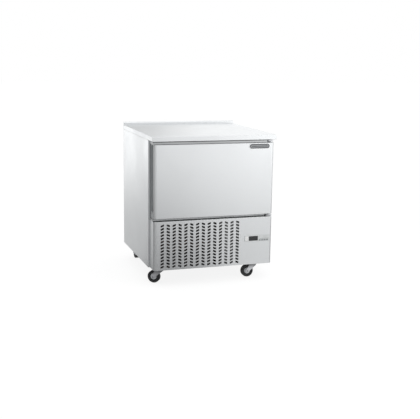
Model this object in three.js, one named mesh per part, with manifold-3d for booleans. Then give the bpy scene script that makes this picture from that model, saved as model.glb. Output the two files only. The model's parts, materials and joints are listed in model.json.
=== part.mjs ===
// Undercounter blast chiller: a foamed stainless cabinet on four swivel casters, with one right-hinged
// door, a slotted panel over the machine compartment and a small controller.
// Millimetres. +X is right, +Y is back, +Z is up; the origin is on the floor under the worktop's middle.

import * as THREE from "three";
import { mergeVertices } from "three/addons/utils/BufferGeometryUtils.js";
import Module from "manifold-3d";

// Overall
const width = 800;
const depth = 815;
const worktopHeight = 935;
const skirtHeight = 30;
const upstandHeight = 20;
const upstandDepth = 18;
const upstandChamfer = 6;
const cabinetBottom = 105; // caster height
const sheet = 1.2; // stainless sheet
const fit = 0.3; // clearance between pieces that meet
const roundFit = 0.6; // clearance between coarse rounds, such as a pin and its bore
const weld = 1e-4; // points closer than this are one
const through = 2; // how far a cutting tool passes the face it cuts
const doorSetback = 10; // door face behind the worktop's front edge
const rearSetback = 7.5; // rear panel in front of the worktop's back edge
const sideInset = 10; // door and lower panel inside the worktop's ends
const sideFlange = 22;
const cornerRadius = 18; // vertical front edges of the door and the lower panel
const cornerSteps = 5;

// Door
const doorThickness = 65;
const doorHeight = 455;
const doorTopGap = 20;
const doorBottomGap = 18;
const gasketThickness = 12;
const gasketWidth = 22;
const gasketSideInset = 23; // gasket inside the door's side edges
const gasketEndInset = 10; // gasket inside the door's top and bottom edges
const frameThickness = 20;
const frameSideInset = 4;
const gripDepth = 30;
const gripFront = 20; // grip channel behind the door face
const gripBack = 58;
const gripWall = 2.5;
const gripFoot = 38; // plain flank under the grip channel
const plugDepth = 8; // raised middle of the door liner
const plugInset = 18;
const badgeWidth = 139;
const badgeHeight = 36;
const badgeThickness = 2.5;
const badgeRight = 30; // badge inside the door's right edge
const badgeDrop = 3; // badge under the door's top edge
const badgeSteps = 8;

// Door hinges
const pivotInset = 15; // hinge axis inside the door's right edge
const pivotDepth = 25; // hinge axis behind the door face
const pinRadius = 5;
const pinReach = 25; // pin inside the door
const collarRadius = 9;
const hingePlate = 6;
const upperHingeLift = 6; // upper plate over the door
const lowerHingeLift = 3; // lower plate over the lower panel
const hingeLeft = 25;
const hingeRight = 18;
const hingeNose = 12;
const hingeLeg = 4;
const roundSteps = 16;

// Cell
const mouthMargin = 8; // cell mouth inside the gasket
const linerThickness = 1;
const cellRadius = 20;
const cellBackWall = 55;
const trayLevels = 5;
const trayPitch = 66;
const firstTray = 40;
const rackStandoff = 30;
const rackLedge = 18;
const rackLedgeThickness = 2;
const rackFront = 25; // rack behind the cell mouth
const rackBack = 30; // rack in front of the fan panel
const standoffHeight = 16;
const fanPanelFromBack = 195;
const fanPanelSideGap = 35;
const coilSideGap = 65;
const coilTopGap = 25;
const coilDepth = 70;
const coilFromBack = 13;
const coilFins = 19;
const dripTrayMargin = 16;
const dripTrayHeight = 20;

// Fans
const evaporatorFanRadius = 100;
const condenserFanMargin = 39.85; // fan's tips inside the condenser's top and bottom
const fanBlades = 5;
const bladeChord = 50;
const bladeThickness = 2;
const bladeRoot = 16; // blade's inner end, inside the hub
const bladePitch = Math.PI / 3;
const hubRadius = 20;
const hubLength = 24;
const hubStart = 7; // hub behind the panel that the fan hangs on
const hubCap = 3;
const shaftRadius = 4;
const motorRadius = 42;
const motorStart = 39;
const motorLength = 60;
const armWidth = 10;
const armThickness = 6;
const armReach = 22; // arms past the fan's radius
const armCount = 3;
const fanHoleMargin = 8;
const guardRings = [
  [30, 52],
  [60, 80],
  [88, 108],
];
const guardSpoke = 8;
const guardSectors = 4;
const guardSteps = 4;

// Lower panel and its slots
const slotColumns = 14;
const slotColumnPitch = 37.8;
const slotRowPitch = 20;
const slotWidth = 20;
const slotHeight = 10;
const slotRise = 4;
const grilleLeft = 45; // slot field inside the worktop's left end
const grilleBottom = 12;
const grilleTop = 15;

// Controller
const controllerFromRight = 111;
const controllerRise = 169;
const controllerWidth = 172;
const controllerHeight = 40;
const controllerRadius = 4;
const controllerSteps = 2;
const fasciaThickness = 3;
const controllerBodyWidth = 162;
const controllerBodyHeight = 34;
const controllerBodyDepth = 60;
const displayWidth = 62;
const displayHeight = 30;
const displayThickness = 1.5;
const displayLeft = 29; // display inside the fascia's left end
const displayRise = 1;
const keyCount = 4;
const keyWidth = 13;
const keyHeight = 8;
const keyDepth = 3;
const keyProud = 0.8;
const keyTravel = 1;
const keyPitch = 17;
const keyRight = 18; // last key's centre inside the fascia's right end
const keyDrop = 12;

// Machine compartment
const trayThickness = 2;
const trayFlange = 10;
const condenserLeft = 40;
const condenserWidth = 460;
const condenserDepth = 60;
const condenserBack = 10; // condenser behind the cabinet's front
const condenserTopGap = 25;
const condenserFins = 17;
const finThickness = 8;
const finSpine = 10;
const shroudDepth = 40;
const compressorFromLeft = 170;
const compressorFromBack = 240;
const compressorRadius = 85;
const compressorHeadroom = 96.7; // compressor under the lower panel's top
const compressorProfile = [
  [0.82, 0],
  [0.97, 0.1],
  [0.97, 0.44],
  [1, 0.45],
  [1, 0.5],
  [0.97, 0.51],
  [0.92, 0.8],
  [0.68, 0.94],
]; // shares of the shell's radius and height
const suctionPortShare = 0.72; // of the shell's height
const dischargePortShare = 0.4; // of the shell's radius
const compressorFoot = 15;
const compressorPlate = 3;
const compressorPlateWidth = 190;
const compressorPlateDepth = 170;
const footRadius = 12;
const footInset = 16;
const receiverFromRight = 250;
const receiverFromFront = 70;
const receiverRadius = 38;
const receiverHeadroom = 134.7; // receiver under the lower panel's top
const receiverCap = 12;
const receiverBase = 30; // radius of its foot
const receiverCrown = 23; // radius of its top
const condensateWidth = 300;
const condensateDepth = 200;
const condensateHeight = 40;
const condensateFromRight = 40;
const condensateFromBack = 50;
const boxWidth = 150;
const boxDepth = 110;
const boxHeight = 190;
const boxBehind = 12; // electrical box behind the cabinet's front
const boxTopGap = 14;
const drainRadius = 8;
const drainWall = 2;
const drainHang = 8; // drain pipe's end over the condensate tray's rim
const suctionRadius = 7;
const liquidRadius = 5;
const dischargeRadius = 5;
const pipeSides = 8;
const pipeBend = 20;
const pipeDrop = 21; // pipes under the cell
const drierRadius = 12;
const drierLength = 60;
const drierRise = 15; // drier over the receiver
const pipeInset = 32; // pipes inside the cell's right wall
const suctionHoleBack = 21; // suction hole behind the coil's middle
const liquidHoleFront = 20; // liquid hole in front of it
const suctionRise = 80; // suction and liquid ends over the coil's bottom
const liquidRise = 40;
const suctionReach = 40; // suction pipe past the compressor's port
const bypassReach = 40; // discharge pipe past the condenser's end and behind its shroud
const bypassBack = 60;
const dischargeDrop = 40; // discharge pipe's end under the condenser's top
const portReach = 6; // compressor's tube stubs past its shell
const portWall = 1.5;

// Rear panel
const ventColumns = 2;
const ventRows = 7;
const ventWidth = 180;
const ventHeight = 8;
const ventPitch = 24;
const ventSpread = 240;
const ventRise = 60;
const glandRadius = 10;
const glandNut = 14;
const nutSides = 6;
const glandProud = 6;
const glandFromLeft = 90;
const glandRise = 90;
const glandBodyDepth = 16;

// Casters
const casterLeft = 78; // left swivel axes inside the worktop's left end
const casterRight = 98;
const casterEnd = 102.5; // swivel axes inside the worktop's front and back edges
const plateLength = 100;
const plateWidth = 85;
const plateThickness = 3;
const raceRadius = 30;
const raceDrop = 10;
const kingpinRadius = 6;
const kingpinHead = 10;
const kingpinHeadHeight = 2.5;
const forkDisc = 32;
const forkTop = 7.5;
const forkLeg = 3;
const forkGap = 2; // fork leg beside the wheel
const forkRearTop = 18; // leg's top corners behind and before the kingpin
const forkFrontTop = 26;
const forkWaist = 13;
const axleEye = 12; // leg's round end about the axle
const axleEyeStart = Math.PI * 1.1;
const trail = 43;
const wheelRadius = 40;
const wheelWidth = 30;
const axleRadius = 5;
const axleHead = 8;
const axleHeadHeight = 3;
const coreRadius = 31;
const coreRim = 3;
const coreRimInset = 1; // rim inside the wheel's width
const coreWeb = 14;
const coreHub = 12;
const pinSteps = 12;
const coreSteps = 14;
const tyreSteps = 20;
const tyreCrown = 2;
const tyreShoulder = 4;
const casterAngles = { front_left: 145, front_right: 180, rear_left: 90, rear_right: 60 };

// Places that follow from the sizes
const halfWidth = width / 2;
const worktopFront = -depth / 2;
const worktopBack = depth / 2;
const casterY = worktopBack - casterEnd;
const upstandFront = worktopBack - upstandDepth;
const topBack = upstandFront - fit; // worktop's back edge, against the upstand
const skirtBottom = worktopHeight - skirtHeight;
const doorHalf = halfWidth - sideInset;
const doorFront = worktopFront + doorSetback;
const doorBack = doorFront + doorThickness;
const doorTop = skirtBottom - doorTopGap;
const doorBottom = doorTop - doorHeight;
const frameFront = doorBack + gasketThickness;
const frameBack = frameFront + frameThickness;
const cabinetFront = frameBack + fit;
const cabinetBack = worktopBack - rearSetback;
const panelTop = doorBottom - doorBottomGap;
const gasketHalf = doorHalf - gasketSideInset;
const cellHalf = gasketHalf - gasketWidth - mouthMargin;
const cellInset = gasketEndInset + gasketWidth + mouthMargin;
const cellBottom = doorBottom + cellInset;
const cellTop = doorTop - cellInset;
const cellBack = cabinetBack - cellBackWall;
const cellMiddle = (cellBottom + cellTop) / 2;
const fanPanelFront = cellBack - fanPanelFromBack;
const fanPanelBack = fanPanelFront + sheet;
const coilHalf = cellHalf - coilSideGap;
const coilBack = cellBack - coilFromBack;
const coilFront = coilBack - coilDepth;
const coilMiddle = (coilFront + coilBack) / 2;
const dripTrayBottom = cellBottom + fit;
const coilBottom = dripTrayBottom + sheet + fit;
const pivotX = doorHalf - pivotInset;
const pivotY = doorFront + pivotDepth;
const trayTop = cabinetBottom + trayThickness;
const floorLevel = trayTop + fit;
const condenserX0 = -halfWidth + condenserLeft;
const condenserX1 = condenserX0 + condenserWidth;
const condenserY0 = cabinetFront + condenserBack;
const condenserY1 = condenserY0 + condenserDepth;
const condenserTop = panelTop - condenserTopGap;
const condenserMiddleX = (condenserX0 + condenserX1) / 2;
const condenserMiddleZ = (floorLevel + condenserTop) / 2;
const condenserFanRadius = condenserTop - condenserMiddleZ - condenserFanMargin;
const condenserMiddleY = (condenserY0 + condenserY1) / 2;
const shroudBack = condenserY1 + fit + shroudDepth;
const compressorX = -halfWidth + compressorFromLeft;
const compressorY = cabinetBack - compressorFromBack;
const condensateX1 = halfWidth - condensateFromRight;
const condensateX0 = condensateX1 - condensateWidth;
const condensateY1 = cabinetBack - condensateFromBack;
const condensateY0 = condensateY1 - condensateDepth;
const drainX = (condensateX0 + condensateX1) / 2;
const suctionX = cellHalf - pipeInset;
const controllerX = halfWidth - controllerFromRight;
const controllerZ = cabinetBottom + controllerRise;
const fasciaFront = doorFront - fit - fasciaThickness;
const suctionHoleY = coilMiddle + suctionHoleBack;
const liquidHoleY = coilMiddle - liquidHoleFront;

const materials = {
  steel: { color: 0xd3d6d8, roughness: 0.34, metalness: 0.9 },
  steelDark: { color: 0x9ea3a4, roughness: 0.4, metalness: 0.85 },
  liner: { color: 0xdcdfe0, roughness: 0.3, metalness: 0.9 },
  foam: { color: 0xe8dfb8, roughness: 0.95, metalness: 0 },
  darkPlastic: { color: 0x5a5e5f, roughness: 0.6, metalness: 0 },
  rubber: { color: 0x1b1c1d, roughness: 0.85, metalness: 0 },
  paleNylon: { color: 0xb9bcbc, roughness: 0.5, metalness: 0 },
  zinc: { color: 0x8f9394, roughness: 0.4, metalness: 0.9 },
  fascia: { color: 0xe4e6e6, roughness: 0.5, metalness: 0 },
  window: { color: 0x202426, roughness: 0.15, metalness: 0 },
  key: { color: 0x9a9d9e, roughness: 0.6, metalness: 0 },
  badge: { color: 0x3c4142, roughness: 0.25, metalness: 0 },
  aluminium: { color: 0xc4c8ca, roughness: 0.4, metalness: 0.9 },
  copper: { color: 0xb87349, roughness: 0.35, metalness: 0.9 },
  blackPaint: { color: 0x242628, roughness: 0.45, metalness: 0.2 },
  greyBox: { color: 0xb4b8b8, roughness: 0.6, metalness: 0 },
};

const wasm = await Module();
wasm.setup();

// A closed geometry as a solid that can be joined and cut.
function solidOf(geometry) {
  const bare = geometry.index ? geometry.toNonIndexed() : geometry.clone();
  bare.deleteAttribute("normal");
  bare.deleteAttribute("uv");
  const merged = mergeVertices(bare, weld);
  const triVerts = Uint32Array.from(merged.index.array);
  const vertProperties = merged.attributes.position.array;
  return new wasm.Manifold(new wasm.Mesh({ numProp: 3, vertProperties, triVerts }));
}

function geometryOf(solid) {
  const { vertProperties, triVerts } = solid.getMesh();
  const geometry = new THREE.BufferGeometry();
  const places = Float32Array.from(vertProperties);
  geometry.setAttribute("position", new THREE.BufferAttribute(places, 3));
  geometry.setIndex(Array.from(triVerts));
  const flat = geometry.toNonIndexed();
  flat.computeVertexNormals();
  return flat;
}

function join(first, ...others) {
  let whole = solidOf(first);
  for (const other of others) whole = whole.add(solidOf(other));
  return geometryOf(whole);
}

function cut(base, ...tools) {
  let rest = solidOf(base);
  for (const tool of tools) rest = rest.subtract(solidOf(tool));
  return geometryOf(rest);
}

function block(x0, x1, y0, y1, z0, z1) {
  const box = new THREE.BoxGeometry(x1 - x0, y1 - y0, z1 - z0);
  return box.translate((x0 + x1) / 2, (y0 + y1) / 2, (z0 + z1) / 2);
}

const vectorX = new THREE.Vector3(1, 0, 0);
const vectorY = new THREE.Vector3(0, 1, 0);
const vectorZ = new THREE.Vector3(0, 0, 1);
const shapeToX = new THREE.Matrix4().makeBasis(vectorY, vectorZ, vectorX);
const shapeToY = new THREE.Matrix4().makeBasis(vectorX, vectorZ, vectorY.clone().negate());

function shapeOf(points, holes = []) {
  const shape = new THREE.Shape(points.map(([u, v]) => new THREE.Vector2(u, v)));
  shape.holes = holes.map((hole) => new THREE.Path(hole.map(([u, v]) => new THREE.Vector2(u, v))));
  return shape;
}

// Prisms: an outline in XY carried along Z, in YZ along X, and in XZ along Y.
function prismZ(shape, z0, z1) {
  const prism = new THREE.ExtrudeGeometry(shape, { depth: z1 - z0, bevelEnabled: false });
  return prism.translate(0, 0, z0);
}

function prismX(shape, x0, x1) {
  const prism = new THREE.ExtrudeGeometry(shape, { depth: x1 - x0, bevelEnabled: false });
  return prism.applyMatrix4(shapeToX).translate(x0, 0, 0);
}

function prismY(shape, y0, y1) {
  const prism = new THREE.ExtrudeGeometry(shape, { depth: y1 - y0, bevelEnabled: false });
  return prism.applyMatrix4(shapeToY).translate(0, y1, 0);
}

function arc(u, v, radius, from, to, steps) {
  const points = [];
  for (let i = 0; i <= steps; i += 1) {
    const angle = from + ((to - from) * i) / steps;
    points.push([u + radius * Math.cos(angle), v + radius * Math.sin(angle)]);
  }
  return points;
}

function circle(u, v, radius, steps) {
  return arc(u, v, radius, 0, Math.PI * 2, steps).slice(0, steps);
}

function rectangle(u0, u1, v0, v1) {
  return [
    [u0, v0],
    [u1, v0],
    [u1, v1],
    [u0, v1],
  ];
}

function roundRectangle(u0, u1, v0, v1, radius, steps) {
  const quarter = Math.PI / 2;
  return [
    ...arc(u0 + radius, v0 + radius, radius, -2 * quarter, -quarter, steps),
    ...arc(u1 - radius, v0 + radius, radius, -quarter, 0, steps),
    ...arc(u1 - radius, v1 - radius, radius, 0, quarter, steps),
    ...arc(u0 + radius, v1 - radius, radius, quarter, 2 * quarter, steps),
  ];
}

// Plan outline of a folded pan: round front corners, square at the back.
function panOutline(half, y0, y1, radius) {
  const quarter = Math.PI / 2;
  return shapeOf([
    [-half, y1],
    ...arc(-half + radius, y0 + radius, radius, -2 * quarter, -quarter, cornerSteps),
    ...arc(half - radius, y0 + radius, radius, -quarter, 0, cornerSteps),
    [half, y1],
  ]);
}

function rodY(x, z, radius, y0, y1, steps = roundSteps) {
  const rod = new THREE.CylinderGeometry(radius, radius, y1 - y0, steps);
  return rod.translate(x, (y0 + y1) / 2, z);
}

function rodX(y, z, radius, x0, x1, steps = roundSteps) {
  const rod = new THREE.CylinderGeometry(radius, radius, x1 - x0, steps).rotateZ(Math.PI / 2);
  return rod.translate((x0 + x1) / 2, y, z);
}

function rodZ(x, y, radius, z0, z1, steps = roundSteps) {
  const rod = new THREE.CylinderGeometry(radius, radius, z1 - z0, steps).rotateX(Math.PI / 2);
  return rod.translate(x, y, (z0 + z1) / 2);
}

// A profile of [radius, height] points turned about Y, or about Z.
function turnedY(profile, steps) {
  return new THREE.LatheGeometry(
    profile.map(([radius, height]) => new THREE.Vector2(radius, height)),
    steps,
  );
}

function turnedZ(profile, steps) {
  return turnedY(profile, steps).rotateX(Math.PI / 2);
}

// A route of straight runs and round bends; each station has a place and a heading.
class Route extends THREE.Curve {
  constructor(corners) {
    super();
    const places = corners.map(([x, y, z]) => new THREE.Vector3(x, y, z));
    const headings = places.slice(1).map((place, i) => place.clone().sub(places[i]).normalize());
    const last = places.length - 1;
    this.stations = [{ place: places[0], heading: headings[0] }];
    for (let i = 1; i < last; i += 1) {
      const [inward, outward] = [headings[i - 1], headings[i]];
      const start = places[i].clone().addScaledVector(inward, -pipeBend);
      const end = places[i].clone().addScaledVector(outward, pipeBend);
      const middle = start.clone().add(end).multiplyScalar(1 / 4).addScaledVector(places[i], 1 / 2);
      this.stations.push({ place: start, heading: inward });
      this.stations.push({ place: middle, heading: inward.clone().add(outward).normalize() });
      this.stations.push({ place: end, heading: outward });
    }
    this.stations.push({ place: places[last], heading: headings[last - 1] });
  }

  station(u) {
    return this.stations[Math.round(u * (this.stations.length - 1))];
  }

  getPointAt(u) {
    return this.station(u).place.clone();
  }

  getTangentAt(u) {
    return this.station(u).heading.clone();
  }
}

function pipe(corners, radius) {
  const route = new Route(corners);
  const section = shapeOf(circle(0, 0, radius, pipeSides));
  const steps = route.stations.length - 1;
  return new THREE.ExtrudeGeometry(section, { steps, extrudePath: route });
}

function piece(group, name, geometry, finish) {
  const mesh = new THREE.Mesh(geometry, new THREE.MeshStandardMaterial(finish));
  mesh.name = name;
  group.add(mesh);
  return mesh;
}

// A block of upright fins on a middle web, as on a finned coil.
function finBlock(x0, x1, y0, y1, z0, z1, fins) {
  const gap = (x1 - x0 - fins * finThickness) / (fins - 1);
  const middle = (y0 + y1) / 2;
  const grooves = [];
  for (let i = 0; i < fins - 1; i += 1) {
    const left = x0 + finThickness + i * (finThickness + gap);
    grooves.push(shapeOf(rectangle(left, left + gap, y0 - through, middle - finSpine / 2)));
    grooves.push(shapeOf(rectangle(left, left + gap, middle + finSpine / 2, y1 + through)));
  }
  return cut(block(x0, x1, y0, y1, z0, z1), prismZ(grooves, z0 - through, z1 + through));
}

// A shallow open tray of sheet.
function openTray(x0, x1, y0, y1, z0, z1, wall) {
  const inside = block(x0 + wall, x1 - wall, y0 + wall, y1 - wall, z0 + wall, z1 + through);
  return cut(block(x0, x1, y0, y1, z0, z1), inside);
}

function worktop() {
  const outside = block(-halfWidth, halfWidth, worktopFront, topBack, skirtBottom, worktopHeight);
  const hollow = block(
    -halfWidth + sheet,
    halfWidth - sheet,
    worktopFront + sheet,
    topBack - sheet,
    skirtBottom - through,
    worktopHeight - sheet,
  );
  const soffit = block(
    -halfWidth,
    halfWidth,
    worktopFront,
    frameBack,
    skirtBottom,
    skirtBottom + sheet,
  );
  return join(cut(outside, hollow), soffit);
}

// The upstand is a folded box section behind the worktop, open below.
function upstandProfile(inset, bottom) {
  const front = upstandFront + inset;
  const back = worktopBack - inset;
  const top = worktopHeight + upstandHeight - inset;
  return shapeOf([
    [front, bottom],
    [back, bottom],
    [back, top],
    [front + upstandChamfer, top],
    [front, top - upstandChamfer],
  ]);
}

function upstand() {
  const outside = prismX(upstandProfile(0, skirtBottom), -halfWidth, halfWidth);
  const hollow = upstandProfile(sheet, skirtBottom - through);
  return cut(outside, prismX(hollow, -halfWidth + sheet, halfWidth - sheet));
}

function sidePanel(side) {
  const back = cabinetBack - sheet - fit;
  const outer = halfWidth * side;
  const inner = (halfWidth - sheet) * side;
  const lip = (halfWidth - sideFlange) * side;
  const outline = [
    [outer, cabinetFront],
    [outer, back],
    [inner, back],
    [inner, cabinetFront + sheet],
    [lip, cabinetFront + sheet],
    [lip, cabinetFront],
  ];
  return prismZ(shapeOf(outline), cabinetBottom, skirtBottom - fit);
}

function rearPanel() {
  const glandX = -halfWidth + glandFromLeft;
  const holes = [shapeOf(circle(glandX, cabinetBottom + glandRise, glandRadius + fit, roundSteps))];
  for (let column = 0; column < ventColumns; column += 1) {
    const middle = ventSpread * (column - (ventColumns - 1) / 2);
    for (let row = 0; row < ventRows; row += 1) {
      const bottom = cabinetBottom + ventRise + row * ventPitch;
      const top = bottom + ventHeight;
      holes.push(shapeOf(rectangle(middle - ventWidth / 2, middle + ventWidth / 2, bottom, top)));
    }
  }
  const front = cabinetBack - sheet;
  const panel = block(-halfWidth, halfWidth, front, cabinetBack, cabinetBottom, skirtBottom - fit);
  return cut(panel, prismY(holes, front - through, cabinetBack + through));
}

// The pipes that pass the cell's floor: drain, suction and liquid.
function floorHoles(z0, z1, clearance) {
  return [
    rodZ(drainX, coilMiddle, drainRadius + clearance, z0, z1),
    rodZ(suctionX, suctionHoleY, suctionRadius + clearance, z0, z1),
    rodZ(suctionX, liquidHoleY, liquidRadius + clearance, z0, z1),
  ];
}

function cellPrism(grow, y0, y1) {
  const outline = roundRectangle(
    -cellHalf - grow,
    cellHalf + grow,
    cellBottom - grow,
    cellTop + grow,
    cellRadius + grow,
    cornerSteps,
  );
  return prismY(shapeOf(outline), y0, y1);
}

function cellInsulation() {
  const side = halfWidth - sheet - fit;
  const front = cabinetFront + sheet + fit;
  const back = cabinetBack - sheet - fit;
  const upperBack = topBack - sheet - fit;
  const top = worktopHeight - sheet - fit;
  const profile = [
    [front, panelTop],
    [back, panelTop],
    [back, skirtBottom - fit],
    [upperBack, skirtBottom - fit],
    [upperBack, top],
    [front, top],
  ];
  const whole = prismX(shapeOf(profile), -side, side);
  const grow = linerThickness + fit;
  const cavity = cellPrism(grow, front - through, cellBack + grow);
  return cut(whole, cavity, ...floorHoles(panelTop - through, cellBottom, fit));
}

function cellLiner() {
  const outside = cellPrism(linerThickness, cabinetFront, cellBack + linerThickness);
  const inside = cellPrism(0, cabinetFront - through, cellBack);
  const below = cellBottom - linerThickness - through;
  return cut(outside, inside, ...floorHoles(below, cellBottom + through, fit));
}

function doorFrame() {
  const side = halfWidth - frameSideInset;
  const outline = rectangle(-side, side, panelTop + fit, skirtBottom - fit);
  const mouth = roundRectangle(-cellHalf, cellHalf, cellBottom, cellTop, cellRadius, cornerSteps);
  return prismY(shapeOf(outline, [mouth]), frameFront, frameBack);
}

function trayRack(side) {
  const wallX = cellHalf - fit - rackStandoff;
  const innerX = wallX - sheet;
  const bottom = cellBottom + firstTray / 2;
  const top = cellBottom + firstTray + (trayLevels - 1) * trayPitch;
  const outline = [
    [wallX, bottom],
    [wallX, top],
  ];
  for (let level = trayLevels - 1; level >= 0; level -= 1) {
    const z = cellBottom + firstTray + level * trayPitch;
    if (level < trayLevels - 1) outline.push([innerX, z]);
    outline.push([innerX - rackLedge, z]);
    outline.push([innerX - rackLedge, z - rackLedgeThickness]);
    outline.push([innerX, z - rackLedgeThickness]);
  }
  outline.push([innerX, bottom]);
  const front = cabinetFront + rackFront;
  const back = fanPanelFront - rackBack;
  const placed = outline.map(([x, z]) => [x * side, z]);
  let rack = prismY(shapeOf(placed), front, back);
  for (const y of [front, back - standoffHeight]) {
    for (const z of [bottom, top - standoffHeight]) {
      const near = innerX * side;
      const far = (cellHalf - fit) * side;
      const reach = [Math.min(near, far), Math.max(near, far)];
      rack = join(rack, block(...reach, y, y + standoffHeight, z, z + standoffHeight));
    }
  }
  return rack;
}

// One sector of a ring, as an outline.
function sector(u, v, inner, outer, from, to) {
  return [
    ...arc(u, v, outer, from, to, guardSteps),
    ...arc(u, v, inner, to, from, guardSteps),
  ];
}

function fanPanel() {
  const side = cellHalf - fanPanelSideGap;
  const panel = block(-side, side, fanPanelFront, fanPanelBack, cellBottom + fit, cellTop - fit);
  const holes = [];
  const share = (Math.PI * 2) / guardSectors;
  for (const [inner, outer] of guardRings) {
    const spoke = guardSpoke / (inner + outer);
    for (let i = 0; i < guardSectors; i += 1) {
      const from = i * share + spoke;
      const to = (i + 1) * share - spoke;
      holes.push(shapeOf(sector(0, cellMiddle, inner, outer, from, to)));
    }
  }
  return cut(panel, prismY(holes, fanPanelFront - through, fanPanelBack + through));
}

// A fan in its own frame: the panel's back face is at y = 0 and the shaft is the Y axis.
function fanBlade(radius) {
  const end = hubStart + hubLength;
  const hub = rodY(0, 0, hubRadius, hubStart, end);
  let fan = cut(hub, rodY(0, 0, shaftRadius + fit, hubStart + hubCap, end + through));
  for (let i = 0; i < fanBlades; i += 1) {
    const blade = new THREE.BoxGeometry(radius - bladeRoot, bladeChord, bladeThickness);
    blade.rotateX(bladePitch);
    blade.translate((radius + bladeRoot) / 2, hubStart + hubLength / 2, 0);
    blade.rotateY((i * Math.PI * 2) / fanBlades);
    fan = join(fan, blade);
  }
  return fan;
}

function fanMotor(radius) {
  const shaftStart = hubStart + hubCap + roundFit;
  const armStart = motorStart + through;
  const armEnd = armStart + armThickness;
  let motor = join(
    rodY(0, 0, motorRadius, motorStart, motorStart + motorLength),
    rodY(0, 0, shaftRadius, shaftStart, armStart),
  );
  const tip = radius + armReach;
  for (let i = 0; i < armCount; i += 1) {
    const turn = (i * Math.PI * 2) / armCount + Math.PI / 2;
    const halfArm = armWidth / 2;
    const arm = block(motorRadius / 2, tip, armStart, armEnd, -halfArm, halfArm);
    const finger = block(tip - armWidth, tip, fit, armEnd, -halfArm, halfArm);
    motor = join(motor, arm.rotateY(turn), finger.rotateY(turn));
  }
  return motor;
}

function fanAssembly(name, radius, x, y, z) {
  const group = new THREE.Group();
  group.position.set(x, y, z);
  piece(group, `${name}_fan_motor`, fanMotor(radius), materials.blackPaint);
  piece(group, `${name}_fan_blade`, fanBlade(radius), materials.aluminium);
  return group;
}

function dripTray() {
  const side = coilHalf + dripTrayMargin;
  const front = coilFront - dripTrayMargin;
  const back = cellBack - fit;
  const top = dripTrayBottom + dripTrayHeight;
  const tray = openTray(-side, side, front, back, dripTrayBottom, top, sheet);
  const outlet = rodZ(drainX, coilMiddle, drainRadius - drainWall, dripTrayBottom - through, coilBottom);
  return cut(tray, outlet);
}

function drainPipe() {
  const bottom = floorLevel + condensateHeight + drainHang;
  const ring = [circle(drainX, coilMiddle, drainRadius - drainWall, roundSteps)];
  const outline = circle(drainX, coilMiddle, drainRadius, roundSteps);
  return prismZ(shapeOf(outline, ring), bottom, cellBottom);
}

function lowerPanel() {
  const back = frameBack - fit;
  const outside = prismZ(panOutline(doorHalf, doorFront, back, cornerRadius), cabinetBottom, panelTop);
  const inside = prismZ(
    panOutline(doorHalf - sheet, doorFront + sheet, back + through, cornerRadius - sheet),
    cabinetBottom - through,
    panelTop - sheet,
  );
  const slots = [];
  const rows = Math.floor((panelTop - grilleTop - cabinetBottom - grilleBottom) / slotRowPitch);
  for (let column = 0; column < slotColumns; column += 1) {
    const x = -halfWidth + grilleLeft + slotColumnPitch * (column + 1 / 2);
    const rise = column % 2 === 0 ? slotRise : -slotRise;
    for (let row = 0; row < rows; row += 1) {
      const z = cabinetBottom + grilleBottom + slotRowPitch * (row + 1 / 2);
      slots.push(
        shapeOf([
          [x - slotWidth / 2, z - slotHeight / 2 - rise],
          [x + slotWidth / 2, z - slotHeight / 2 + rise],
          [x + slotWidth / 2, z + slotHeight / 2 + rise],
          [x - slotWidth / 2, z + slotHeight / 2 - rise],
        ]),
      );
    }
  }
  const halfBody = controllerBodyWidth / 2 + fit;
  const halfRise = controllerBodyHeight / 2 + fit;
  slots.push(
    shapeOf(
      rectangle(
        controllerX - halfBody,
        controllerX + halfBody,
        controllerZ - halfRise,
        controllerZ + halfRise,
      ),
    ),
  );
  const front = doorFront - through;
  return cut(outside, inside, prismY(slots, front, doorFront + sheet + through));
}

function keyX(index) {
  const last = controllerX + controllerWidth / 2 - keyRight;
  return last - (keyCount - 1 - index) * keyPitch;
}

const displayX = controllerX - controllerWidth / 2 + displayLeft + displayWidth / 2;
const displayZ = controllerZ + displayRise;
const keyZ = controllerZ - keyDrop;

function controllerFascia() {
  const half = controllerWidth / 2;
  const rise = controllerHeight / 2;
  const face = roundRectangle(
    controllerX - half,
    controllerX + half,
    controllerZ - rise,
    controllerZ + rise,
    controllerRadius,
    controllerSteps,
  );
  const halfBody = controllerBodyWidth / 2;
  const bodyRise = controllerBodyHeight / 2;
  const body = block(
    controllerX - halfBody,
    controllerX + halfBody,
    fasciaFront + displayThickness,
    doorFront + controllerBodyDepth,
    controllerZ - bodyRise,
    controllerZ + bodyRise,
  );
  const tools = [displayBlock(fit, fasciaFront - through)];
  for (let i = 0; i < keyCount; i += 1) {
    tools.push(keyBlock(i, fit, fasciaFront - through, keyDepth - keyProud + keyTravel + fit));
  }
  return cut(join(prismY(shapeOf(face), fasciaFront, doorFront - fit), body), ...tools);
}

function displayBlock(grow, front) {
  const half = displayWidth / 2 + grow;
  const rise = displayHeight / 2 + grow;
  const back = fasciaFront + displayThickness + grow;
  return block(displayX - half, displayX + half, front, back, displayZ - rise, displayZ + rise);
}

function keyBlock(index, grow, front, reach) {
  const half = keyWidth / 2 + grow;
  const rise = keyHeight / 2 + grow;
  const x = keyX(index);
  return block(x - half, x + half, front, fasciaFront + reach, keyZ - rise, keyZ + rise);
}

function baseTray() {
  const side = halfWidth - sideFlange - fit;
  const front = doorFront + cornerRadius;
  const back = cabinetBack - sheet - fit;
  return openTray(-side, side, front, back, cabinetBottom, cabinetBottom + trayFlange, trayThickness);
}

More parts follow.
